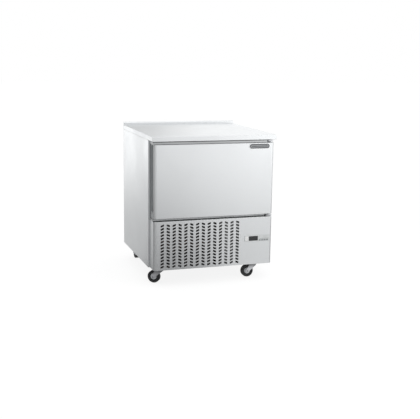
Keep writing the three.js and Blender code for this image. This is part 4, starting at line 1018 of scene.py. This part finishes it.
# Blades at equal turns about a hub that is bored for the shaft.
def makeFan(name, centre, radius, panel):
    body = name + "_fan"
    low = panel + fan["hubRise"]
    high = low + fan["hubLength"]
    blades = [fanBlade(radius, centre, (low + high) / 2, fan, turn)
              for turn in np.arange(fan["blades"]) * 2 * np.pi / fan["blades"]]
    makePiece(name + "FanBlades", blades, "aluminium", body, body + "_blade", wall=fan["blade"])
    hub, bore, floor = fan["hub"], fan["bore"], low + fan["boreFloor"]
    shape = lathe([(0, low), (hub, low), (hub, high), (bore, high), (bore, floor), (0, floor)],
                  fan["hubBends"], centre, "y", sides=40)
    makePiece(name + "FanHub", [shape], "aluminium", body, finish=darkNylon)


motor = {"radius": 42, "start": 39, "length": 60, "shaft": 4, "shaftStart": 11.4, "ribs": 7,
         "ribDepth": 1.4, "ribFrom": 10, "ribTo": 16, "rib": [(0, 0), (0, 3), (1, 3.4), (1, 5.4)],
         "ribBend": 0.3, "nose": [(-9, 0), (-1, 6)], "noseBend": 2, "tail": [(0, -7), (-7, 0)],
         "tailBend": 3, "arms": (-90, 30, 150), "armStart": 30, "armLevel": 44, "armReach": 16,
         "wire": 3, "bend": 8, "foot": 6.5, "footLevels": (0.3, 2)}


# The motor is a ribbed can on three bent rods that stand on the panel round the fan.
def makeMotor(name, centre, radius, panel):
    start, end = panel + motor["start"], panel + motor["start"] + motor["length"]
    wide, ribs = motor["radius"], motor["ribs"]
    levels = np.linspace(start + motor["ribFrom"], end - motor["ribTo"], ribs)
    ribbed = [(wide - deep * motor["ribDepth"], level + rise)
              for level, (deep, rise) in pairs(levels, motor["rib"])]
    profile = [(0, start), *(np.array(motor["nose"]) + [wide, start]), *ribbed,
               *(np.array(motor["tail"]) + [wide, end]), (0, end)]
    bends = [*[motor["noseBend"]] * 2, *[motor["ribBend"]] * len(ribbed), *[motor["tailBend"]] * 2]
    patches = [lathe(profile, bends, centre, "y", sides=48, steps=2),
               rod(motor["shaft"], panel + motor["shaftStart"], start + 1, edge=0.4,
                   centre=centre, axis="y", sides=16)]
    tip, level = radius + motor["armReach"], panel + motor["armLevel"]
    for angle in np.radians(motor["arms"]):
        way = np.array([np.cos(angle), np.sin(angle)])
        path = [(centre[0] + way[0] * r, y, centre[1] + way[1] * r)
                for r, y in ((motor["armStart"], level), (tip, level), (tip, panel + 0.4))]
        patches.append(tube(bent(path, motor["bend"], steps=6), motor["wire"], sides=12))
        patches.append(rod(motor["foot"], *(panel + np.array(motor["footLevels"])), edge=0.5,
                           centre=np.array(centre) + way * tip, axis="y", sides=16))
    makePiece(name + "Motor", patches, "black_paint", stands=name + "_fan_motor")


trays = {"dripTraySheet": ("drip_tray", "liner_steel", 8, sheet),
         "condensateTraySheet": ("condensate_tray", "back_steel", 6, sheet),
         "baseTraySheet": ("base_tray", "back_steel", 5, 2)}
trayFold = {"bend": 3, "flat": 30}


# An open tray: a floor, a bend and upright walls, with rounded corners.
def makeTray(name, stoodFor, slot, corner, wall):
    low, high = span(stoodFor)
    profile = bent([(trayFold["flat"], low[2]), (0, low[2]), (0, high[2])], trayFold["bend"],
                   steps=5)
    outline = outlineAt(boxFace(low, high, "z"), corner, steps=5, least=1)
    makePiece(name, [skin(outline, profile, "z", above, first=True)], slot, stands=stoodFor,
              wall=wall)


fans = {"evaporator": ((0, 657.5), 100, 151.2), "condenser": ((-130, 247.15), 100, -189.9)}
makeFanGuard(fanGuard, *makeFanPanel(fanPanel))
for name, size in coils.items():
    makeCoil(name, size)
for make in (makeFan, makeMotor):
    for name, setup in fans.items():
        make(name, *setup)
for name, setup in trays.items():
    makeTray(name, *setup)
print("cell fittings made")

shroud = {"corner": 3, "bend": 3, "flat": 8, "hole": 106, "sides": 72,
          "throat": [(0, 0), (2, -3), (2, -8)], "throatBend": 4}


# The shroud is a shallow pan behind the condenser, with a round throat turned forwards.
def makeShroud(size):
    low, high = span("condenser_fan_shroud")
    pan = throatPan((low, high), fans["condenser"][0], low[1], high[1], size, ahead)
    makePiece("shroudSheet", pan, "back_steel", stands="condenser_fan_shroud", wall=sheet)


compressor = {
    "axis": (-230, 160), "plate": (190, 170), "plateLevels": (122.3, 125.3), "corner": 16,
    "shell": [(0, 123.8), (70, 123.8), (82.5, 143), (82.5, 207), (85, 209.3), (85, 218.8),
              (82.5, 221), (78, 276), (58, 302), (0, 315.3)],
    "shellBends": [8, 10, 0.8, 0.8, 0.8, 0.8, 40, 40],
    "outlet": [(0, 295.3), (6.5, 295.3), (6.5, 321.3), (5.2, 321.3), (5.2, 316.3), (0, 316.3)],
    "outletAt": (-196, 160),
    "inlet": [(0, -150), (8.5, -150), (8.5, -139), (7.2, -139), (7.2, -144), (0, -144)],
    "inletAt": (160, 259.1), "footInset": 16,
    "foot": [(0, 107.3), (12, 107.3), (12, 112.3), (9, 113.8), (9, 116.8), (12, 118.3),
             (12, 122.3), (0, 122.3)],
    "bolt": 7, "boltRise": 4.5, "cover": ((66, 104, -23, 23), 7, (188, 246), 3), "coverTurn": 45,
}


# A welded shell with a seam band on a plate with four rubber feet, and a terminal cover.
def makeCompressor(size):
    axis, (long, wide), (low, high) = size["axis"], size["plate"], size["plateLevels"]
    plate = block(rectangleAt(*axis, long, wide), size["corner"], low, high, edge=0.8)
    shell = lathe(size["shell"], size["shellBends"], axis, sides=64, steps=5)
    stubs = [lathe(size["outlet"], bends=0.3, centre=size["outletAt"], sides=20),
             lathe(size["inlet"], bends=0.3, centre=size["inletAt"], axis="x", sides=20)]
    makePiece("compressorShell", [plate, shell, *stubs], "black_paint", stands="compressor")
    inset = 2 * size["footInset"]
    spots = np.array(rectangleAt(*axis, long - inset, wide - inset))[[0, 3, 1, 2]]
    feet = [lathe(size["foot"], bends=0.8, centre=spot) for spot in spots]
    makePiece("compressorFeet", feet, "seal_rubber")
    bolts = [hexHead(spot, size["bolt"], high, high + size["boltRise"]) for spot in spots]
    makePiece("compressorBolts", bolts, "zinc_steel")
    cover = placed(slab(size["cover"]), -np.radians(size["coverTurn"]), (*axis, 0))
    makePiece("terminalCover", [cover], "grey_plastic", finish=darkNylon)


pipeBend = 20
receiver = {"axis": (150, -119.9), "bends": [4, 10, 10, 5],
            "body": [(0, 107.3), (30, 107.3), (38, 119.3), (38, 265.3), (23, 277.3), (0, 277.3)],
            "strap": (37.8, 39, -6, 6), "straps": (140, 245), "inletRadius": 5,
            "inlet": [(100.3, -260.2, 192.3), (150, -260.2, 192.3), (150, -119.9, 192.3)]}


# The receiver is an upright bottle with two straps and an inlet pipe.
def makeReceiver(size):
    body = lathe(size["body"], size["bends"], size["axis"], sides=48, steps=5)
    straps = [turned(np.array(rectangle(*size["strap"])) + [0, z], size["axis"], sides=48,
                     closed=True) for z in size["straps"]]
    makePiece("receiverShell", [body], "black_paint", stands="liquid_receiver")
    makePiece("receiverStraps", straps, "zinc_steel")
    inlet = tube(bent(size["inlet"], pipeBend, steps=8), size["inletRadius"])
    makePiece("receiverInlet", [inlet], "copper")


pipes = {
    "discharge": {"radius": 5, "route": [(-196, 160, 321.6), (-196, 160, 391), (-196, -129.9, 391),
                                         (140, -129.9, 391), (140, -260.2, 391), (140, -260.2, 347),
                                         (100.3, -260.2, 347)]},
    "liquid": {"radius": 5, "route": [(150, -119.9, 277.6), (150, -119.9, 391), (305, -119.9, 391),
                                      (305, 277, 391), (305, 277, 511.8), (272.3, 277, 511.8)]},
    "suction": {"radius": 7, "route": [(272.3, 318, 551.8), (305, 318, 551.8), (305, 318, 391),
                                       (-98.7, 318, 391), (-98.7, 160, 391), (-98.7, 160, 259.1),
                                       (-138.7, 160, 259.1)]},
}
drier = {"spot": (150, -119.9), "bends": [0.5, 2, 4, 4, 2, 0.5],
         "body": [(0, 292.3), (5.6, 292.3), (6.2, 297), (12, 303), (12, 341), (6.2, 347.5),
                  (5.6, 352.3), (0, 352.3)]}


# A pipe is straight runs and round bends of one radius; the liquid pipe has the drier on it.
def makePipes(routes):
    swelling = lathe(drier["body"], drier["bends"], drier["spot"], sides=24)
    for name, size in routes.items():
        patches = [tube(bent(size["route"], pipeBend, steps=8), size["radius"])]
        patches += [swelling] if name == "liquid" else []
        makePiece(name + "Pipe", patches, "copper", stands=name + "_pipe")


baffle = {"section": [(84, -291), (84, -294), (232, -294), (232, -277)], "bends": [1, 2],
          "levels": (110, 386)}


# A sheet beside the condenser keeps the air from going round it; it takes the fins' darker
# aluminium, painted shade behind the slots.
def makeBaffle(size):
    section = bent(size["section"], size["bends"], steps=4)
    makePiece("airBaffle", [facing(folded(section, *size["levels"], "z"), behind)], "back_steel",
              wall=sheet, finish=finsWithPaintedShade)


electrical = {"corner": 6, "lid": 10, "seam": 0.8, "edge": 2, "screwInset": 11, "neckInset": 3,
              "neckCorner": 4, "neck": (-1, 3), "neckEdge": 0.3, "lidSunk": 1.5, "screwProud": 1.4}


# A box and its lid with a seam between them, and a screw in each corner.
def makeElectricalBox(size):
    low, high = span("electrical_box")
    lidBack, front, inset = low[1] + size["lid"], low[1] + size["lidSunk"], size["screwInset"]
    outline, neck = boxFace(low, high), boxFace(low, high, grow=-size["neckInset"])
    shell = [block(outline, size["corner"], lidBack + size["seam"], high[1], size["edge"], "y"),
             block(neck, size["neckCorner"], *(lidBack + np.array(size["neck"])),
                   size["neckEdge"], "y"),
             block(outline, size["corner"], front, lidBack, size["edge"], "y")]
    makePiece("electricalBoxShell", shell, "box_plastic", stands="electrical_box")
    spots = pairs((low[0] + inset, high[0] - inset), (low[2] + inset, high[2] - inset))
    heads = [screwHead(spot, front, -size["screwProud"]) for spot in spots]
    makePiece("electricalBoxScrews", heads, "zinc_steel")


gland = {"body": 10, "bodySunk": 4, "nut": 14, "nutLevels": ((400.3, 403.6), (392.5, 398.5)),
         "dome": [(5, -7), (11.5, -7), (11.5, -2.5), (8, 0), (5, 0), (5, -7)],
         "domeBends": [0.5, 2, 2, 0.8]}


# The gland is a stem with two nuts and a domed cap; the dome's levels are from its rear end.
def makeGland(size):
    low, high = span("power_cable_gland")
    spot = rearPanel["gland"]
    stem = rod(size["body"], low[1], high[1] - size["bodySunk"], edge=0.8, centre=spot, axis="y")
    nuts = [hexHead(spot, size["nut"], *levels, edge=0.7, axis="y", corner=1)
            for levels in size["nutLevels"]]
    dome = lathe(np.array(size["dome"]) + [0, high[1]], size["domeBends"], spot, "y")
    makePiece("cableGland", [stem, *nuts, dome], "grey_plastic", stands="power_cable_gland",
              finish=darkNylon)


drain = {"wall": 2, "sides": 24}


# The drain is a plain tube.
def makeDrain(size):
    low, high = span("drain_pipe")
    outer = (high[0] - low[0]) / 2
    inner = outer - size["wall"]
    section = [(outer, low[2]), (outer, high[2]), (inner, high[2]), (inner, low[2])]
    wall = turned(section, (low[:2] + high[:2]) / 2, sides=size["sides"], closed=True)
    makePiece("drainTube", [wall], "grey_plastic", stands="drain_pipe")


makeShroud(shroud)
makeCompressor(compressor)
makeReceiver(receiver)
makePipes(pipes)
makeBaffle(baffle)
makeElectricalBox(electrical)
makeGland(gland)
makeDrain(drain)
print("machinery made")

controller = {
    "corner": 4, "edge": 1.0, "pocket": 1.6, "pocketBend": 0.4, "pocketBed": 1.2, "backGap": 0.3,
    "backLap": 6, "casing": (208, 370, 257, 291), "casingCorner": 3, "casingEdge": 0.8,
    "window": ((232, 294, 260, 290), 2, (0.25, 1.5), 0.3),
    "endBlock": ((208, 228, 261, 289), 2.5, (-0.7, 0.4), 0.5),
    "line": ((304, 368, 270.5, 272.3), 0.7, (0.5, 1.2), 0.2), "lineGroove": 0.8,
    "keyCorner": 1.6, "keyGap": 0.4, "capCorner": 1.3, "capLeast": 0.2, "capLap": 2,
    "crownStart": 0.5, "crownReach": 3, "crownHeight": 0.5, "capSide": [(0.15, 0.7), (0, 1.0)],
}


# The fascia is a tray with a front whose window, keys and line lie in rounded pockets.
def makeFascia(size, keys):
    low, high = span("controller_fascia")
    front, back = low[1], span("door_outer_skin")[0][1] - size["backGap"]
    edge, deep = size["edge"], front + size["pocket"]
    body = outlineAt(boxFace(low, high), size["corner"], steps=5)
    profile = [*quarterArc(edge, front, steps=5), (0, back), (size["backLap"], back)]
    shell = skin(body, profile, "y", last=True)
    window, line = size["window"], size["line"]
    openings = [outlineAt(rectangle(*window[0]), window[1], steps=4),
                *[outlineAt(boxFace(*key, grow=size["keyGap"]), size["keyCorner"], steps=4)
                  for key in keys],
                outlineAt(rectangle(*line[0]), size["lineGroove"], steps=3)]
    flat = flatSheet(body(edge), [opening(0) for opening in openings], front, "y")
    sunk = bent([(0, front), (0, deep), (size["pocketBed"], deep)], size["pocketBend"], steps=2,
                strip=0.05)
    beds = [skin(opening, sunk, "y", behind, last=True) for opening in openings]
    makePiece("controllerFascia", [shell, facing(flat, behind), *beds], "fascia_plastic",
              stands="controller_fascia")
    casing = block(rectangle(*size["casing"]), size["casingCorner"], back + size["backGap"],
                   high[1], size["casingEdge"], "y")
    makePiece("controllerCasing", [casing], "box_plastic")
    return front


# A key is a cap with soft sides and a low dome.
def makeKey(size, i, low, high):
    outline = outlineAt(boxFace(low, high), size["capCorner"], steps=4, least=size["capLeast"])
    crown = domed(size["crownStart"], size["crownReach"], low[1], size["crownHeight"], steps=5)
    profile = [*crown[::-1], *(np.array(size["capSide"]) + [0, low[1]]), (0, high[1]),
               (size["capLap"], high[1])]
    cap = skin(outline, profile, "y", first=True, last=True)
    makePiece(f"controllerKey{i}", [cap], "key_plastic", f"key_{i}", f"controller_key_{i}")


# The controller: fascia, casing, window pane, pale end block, the line over the keys, and the keys.
def makeController(size):
    keys = [span(f"controller_key_{i}") for i in range(1, 5)]
    front = makeFascia(size, keys)
    pane, end, bar = [slab(size[name], front, "y") for name in ("window", "endBlock", "line")]
    makePiece("displayLens", [pane], "display_plastic", stands="display_window")
    makePiece("controllerEndBlock", [end], "fascia_plastic", finish=paleBlock)
    makePiece("controllerLine", [bar], "key_plastic")
    for i, key in enumerate(keys, 1):
        makeKey(size, i, *key)


makeController(controller)
print("controller made")

hinge = {"corners": (2, 9, 9, 2), "edge": 0.7, "pin": 5, "collar": 9, "leg": 4, "legCorner": 0.8,
         "pivot": (375, -372.5)}
hinges = {"upperHinge": {"node": "upper_hinge_bracket", "plate": (891, 897), "leg": (887, 904.7),
                         "collar": (885.3, 892), "pin": (860, 892)},
          "lowerHinge": {"node": "lower_hinge_bracket", "plate": (415, 421), "leg": (412.3, 428),
                         "collar": (420, 429.7), "pin": (420, 455)}}


# Each bracket is a plate with a rounded nose, a leg against the frame, a collar and a pin.
def makeHinge(name, levels):
    low, high = span(levels["node"])
    corners = [(low[0], high[1]), (low[0], low[1]), (high[0], low[1]), (high[0], high[1])]
    back = rectangle(low[0], high[0], high[1] - hinge["leg"], high[1])
    patches = [block(corners, hinge["corners"], *levels["plate"], hinge["edge"]),
               block(back, hinge["legCorner"], *levels["leg"], edge=0.5),
               rod(hinge["collar"], *levels["collar"], edge=0.5, centre=hinge["pivot"]),
               rod(hinge["pin"], *levels["pin"], edge=0.6, centre=hinge["pivot"], sides=24)]
    makePiece(name, patches, "zinc_steel", stands=levels["node"])


for name, levels in hinges.items():
    makeHinge(name, levels)
print("hinges made")

casters = {"front_left": (-322, -305, 145), "front_right": (302, -305, 180),
           "rear_left": (-322, 305, 90), "rear_right": (302, 305, 60)}
caster = {
    "plate": ((-50, 50, -42.5, 42.5), 9, (101.7, 104.7), 0.6), "bolt": (72, 58),
    "boltRadius": 6.5, "boltLevels": (97.5, 102.2),
    "race": [(0, 103.7), (31, 103.7), (31, 99.5), (29.5, 97), (30, 93.5), (27.5, 91.8), (0, 91.8)],
    "pin": [(0, 93), (6, 93), (6, 83.3), (10, 83.3), (10, 81.2), (0, 81.2)],
    "axle": (43, 40), "axleRadius": 5, "axleHead": 8, "headRise": 3,
    "crown": [(7, 84.2), (24, 84.2), (31.5, 86.2), (32, 91.0), (29.5, 91.4), (7, 91.4)],
    "crownBends": [2, 2, 0.6, 0.6],
    "leg": [(-19, 88.5), (-13, 76), (31, 39), (35, 29), (51, 29), (55, 44), (27, 88.5)],
    "legBends": [2, 16, 9, 7, 7, 9, 2], "legInner": 17, "legOuter": 20,
    "bridge": ((-19, 27, -19.6, 19.6), 3, (83.9, 88.8), 1.2),
}


# In its own frame a caster swivels about Z and trails along +X. The plate has four bolts, and the
# ball race and the swivel pin under it.
def casterPlatePatches(size):
    spots = rectangleAt(0, 0, *size["bolt"])
    bolts = [hexHead(spots[i], size["boltRadius"], *size["boltLevels"], edge=0.5, corner=0.4)
             for i in (0, 3, 1, 2)]
    return [slab(size["plate"]), lathe(size["race"], bends=1.0, sides=48),
            lathe(size["pin"], bends=0.5, sides=24), *bolts]


# The fork: a pressed crown on the race and two legs that narrow to the axle's round eye.
def casterForkPatches(size):
    inner, head, axle = size["legInner"], size["legOuter"], size["axle"]
    end = head + size["headRise"]
    legs = [block(size["leg"], size["legBends"], near, far, edge=0.7, axis="y")
            for near, far in ((inner, head), (-head, -inner))]
    caps = [hexHead(axle, size["axleHead"], near, far, axis="y")
            for near, far in ((head, end), (-end, -head))]
    return [lathe(size["crown"], size["crownBends"], sides=48), *legs, slab(size["bridge"]),
            rod(size["axleRadius"], -end, end, edge=0.4, centre=axle, axis="y", sides=20), *caps]


wheel = {
    "core": [(5.6, 15), (11.5, 15), (12.5, 11), (14, 8), (24, 6.5), (28, 13.5), (31, 14)],
    "coreBends": [1, 1.5, 2, 2, 0.8, 0.5],
    "tread": [(31.3, 14), (34, 14.4), (37, 15), (40, 10), (40, 0.5)],
    "treadBends": [0.5, 1.6, 4, 0.2], "groove": (39.7, 0), "grooveBend": 0.2,
    "cap": [(8.4, 12), (8.4, 15.8), (13, 15.8), (20, 10), (20, 6), (8.4, 6)],
    "capBends": [1, 4, 1, 0],
}


# Half a section of (radius, level) and its mirror image, with a middle point if one is given.
def mirrored(half, *middle):
    half = np.array(half)
    return np.concatenate([half * [1, -1], *[[point] for point in middle], half[::-1]])


# The core is hub, dished web and rim; the tyre is a band with soft shoulders and a parting line.
def wheelPatches(size):
    core, tread, axle = size["core"], size["tread"], caster["axle"]
    bends, shoulders = size["coreBends"], size["treadBends"]
    bore, bed = mirrored(core[:1])[::-1], mirrored(tread[:1])[::-1]
    rim = bent(mirrored(tread, size["groove"]), [*shoulders, size["grooveBend"], *shoulders[::-1]],
               steps=4, strip=0.05)
    hub = lathe(mirrored(core), [*bends, *bends[::-1]], axle, "y", sides=48)
    caps = [bent(np.array(size["cap"]) * [1, side], size["capBends"], steps=3, strip=0.1)
            for side in (-1, 1)]
    return ([hub, turned(bore, axle, "y", sides=48)],
            [turned(rim, axle, "y", sides=72), turned(bed, axle, "y", sides=72)],
            [turned(cap, axle, "y", sides=40, closed=True) for cap in caps])


# Four casters: the plate stays square to the cabinet, the rest is turned to its resting swivel.
# The plates and forks take zinc with painted shade that darkens high up, under the cabinet.
def makeCasters(places):
    plate, fork = casterPlatePatches(caster), casterForkPatches(caster)
    core, tyre, caps = wheelPatches(wheel)
    for name, (x, y, degrees) in places.items():
        turn, swivel, spin = np.radians(degrees), f"fork_{name}", f"wheel_{name}"
        for label, patches, angle, slot, body, stands, finish in (
                ("casterPlate", plate, 0, "zinc_steel", "root", "caster_plate_", zincWithPaintedShade),
                ("casterFork", fork, turn, "zinc_steel", swivel, "caster_fork_", zincWithPaintedShade),
                ("wheelCore", core, turn, "wheel_nylon", spin, "wheel_core_", None),
                ("wheelTyre", tyre, turn, "tyre_rubber", spin, "tyre_", None),
                ("hubCaps", caps, turn, "wheel_nylon", spin, None, paleNylon)):
            moved = [placed(patch, angle, (x, y, 0)) for patch in patches]
            makePiece(f"{label}_{name}", moved, slot, body, stands and stands + name, finish=finish)


makeCasters(casters)
print("casters made")

white = (1, 1, 1, 1)


# The rays that see a surface as it looks: camera, glossy and transmission rays.
def seenDirectly(tree):
    rays = node(tree, "LightPath").outputs
    seen = maths(tree, "MAXIMUM", rays["Is Camera Ray"], rays["Is Glossy Ray"])
    return maths(tree, "MAXIMUM", seen, rays["Is Transmission Ray"])


# A material with an output alone.
def emptyFinish(name):
    material = bpy.data.materials.new(name)
    material.use_nodes = True
    material.node_tree.nodes.clear()
    return material, material.node_tree, node(material.node_tree, "OutputMaterial").inputs[0]


# A glowing white of a strength.
def glowing(tree, strength):
    return node(tree, "Emission", {"Color": white, "Strength": strength}).outputs[0]


# A four-cornered plane of the studio.
def makePlane(name, corners, material):
    mesh = bpy.data.meshes.new(name)
    points, faces = grid(np.array(corners, float).reshape(2, 2, 3))
    mesh.from_pydata(points.tolist(), [], faces)
    mesh.materials.append(material)
    plane = bpy.data.objects.new(name, mesh)
    scene.collection.objects.link(plane)
    return plane


# A square that lies at a height.
def lyingSquare(half, height):
    return [(u * half, v * half, height) for v, u in pairs((-1, 1), (-1, 1))]


room = {"floorHalf": 30, "floorBase": 0.8, "world": 0.7, "floorShare": 0.24, "floorGlow": 0.84}


# The floor is white where it is seen, and keeps the soft shadow as its diffuse share.
def makeFloor(size):
    material, tree, out = emptyFinish("studioFloor")
    base, shadow = [node(tree, "BsdfDiffuse", {"Color": dim(white, share)}).outputs[0]
                    for share in (size["floorBase"], size["floorShare"])]
    shown = node(tree, "AddShader", {0: shadow, 1: glowing(tree, size["floorGlow"])}).outputs[0]
    pick = node(tree, "MixShader", {0: seenDirectly(tree), 1: base, 2: shown})
    tree.links.new(pick.outputs[0], out)
    makePlane("floor", lyingSquare(size["floorHalf"], 0), material)


# The world is white where it is seen, and dimmer as a light.
def makeWorld(size):
    world = bpy.data.worlds.new("studio")
    world.use_nodes = True
    tree = world.node_tree
    back = tree.nodes["Background"].inputs
    back[0].default_value = white
    tree.links.new(between(tree, seenDirectly(tree), size["world"], 1.0), back[1])
    scene.world = world


# A card that shows in reflections alone.
def makeCard(name, corners, material):
    card = makePlane(name, corners, material)
    card.visible_camera = card.visible_diffuse = card.visible_shadow = False
    card.visible_transmission = False


floorCard = {"half": 14, "height": 0.0015, "near": 1.2, "far": 8.6, "dim": 0.64, "bright": 1.6,
             "shade": 0.46, "lobes": {"front": ((0.559, -0.829, 0), 0.82, 0.74),
                                      "back": ((-0.32, 0.947, 0), 0.2, 0.59)}}


# The floor card is what steel sees low down: dim beside the cabinet and white further off, with
# more light in each lobe's direction.
def makeFloorCard(size):
    material, tree, out = emptyFinish("floorCard")
    place = node(tree, "TexCoord").outputs["Object"]
    away = node(tree, "VectorMath", {0: place}, operation="LENGTH").outputs["Value"]
    shade = eased(tree, away, size["near"], size["far"], size["dim"], size["bright"])
    way = node(tree, "VectorMath", {0: place}, operation="NORMALIZE").outputs[0]
    around = size["shade"]
    for toward, start, gain in size["lobes"].values():
        along = node(tree, "VectorMath", {0: way, 1: toward}, operation="DOT_PRODUCT")
        lobe = eased(tree, along.outputs["Value"], start, 1.0, 0.0, gain)
        around = maths(tree, "ADD", around, lobe)
    tree.links.new(glowing(tree, maths(tree, "MULTIPLY", shade, around)), out)
    makeCard("floorCard", lyingSquare(size["half"], size["height"]), material)


cards = {
    "leftFlag": {"from": (-1.6, -0.8), "to": (-1.6, 1.1), "low": 0.01, "high": 0.22, "shade": 0.08},
    "tallFlag": {"from": (-1.6, -0.7), "to": (-1.6, 1.1), "low": 0.22, "high": 1.5, "shade": 0.36},
    "rightCard": {"from": (2.4, -0.9), "to": (2.4, 2.2), "low": 0.01, "high": 1.3, "shade": 0.95},
    "backFlag": {"from": (-1.6, 3.2), "to": (0.65, 3.3), "low": 1.1, "high": 2.6, "shade": 0.64},
    "frontFlag": {"from": (-1.7, -1.7), "to": (0.1, -2.0), "low": 0.01, "high": 0.5, "shade": 0.52},
}


# Upright cards stand between two points of the floor.
def makeCards(setups):
    for name, setup in setups.items():
        material, tree, out = emptyFinish(name)
        tree.links.new(glowing(tree, setup["shade"]), out)
        corners = [(*end, rise) for rise, end in pairs((setup["low"], setup["high"]),
                                                       (setup["from"], setup["to"]))]
        makeCard(name, corners, material)


lamps = {
    "rightBox": {"place": (2.3, -2.2, 1.55), "size": (2.6, 2.0), "face": 0.75},
    "backBox": {"place": (2.0, 3.1, 1.9), "size": (2.2, 1.8), "face": 0.285},
    "topBox": {"place": (0.4, -0.6, 4.2), "size": (3.0, 3.0), "face": 0.5},
}


# Lamp powers come from the brightness wanted on the lamp's face: power = face * area * pi.
def makeLamps(setups, target=(0, 0, 0.6)):
    for name, setup in setups.items():
        light = bpy.data.lights.new(name, "AREA")
        light.shape = "RECTANGLE"
        light.size, light.size_y = setup["size"]
        light.energy = setup["face"] * light.size * light.size_y * np.pi
        holder = bpy.data.objects.new(name, light)
        scene.collection.objects.link(holder)
        holder.location = setup["place"]
        toward = Vector(target) - Vector(setup["place"])
        holder.rotation_euler = toward.to_track_quat("-Z", "Y").to_euler()


makeFloor(room)
makeFloorCard(floorCard)
makeWorld(room)
makeCards(cards)
makeLamps(lamps)
scene.view_settings.view_transform = "Standard"
print("room made")
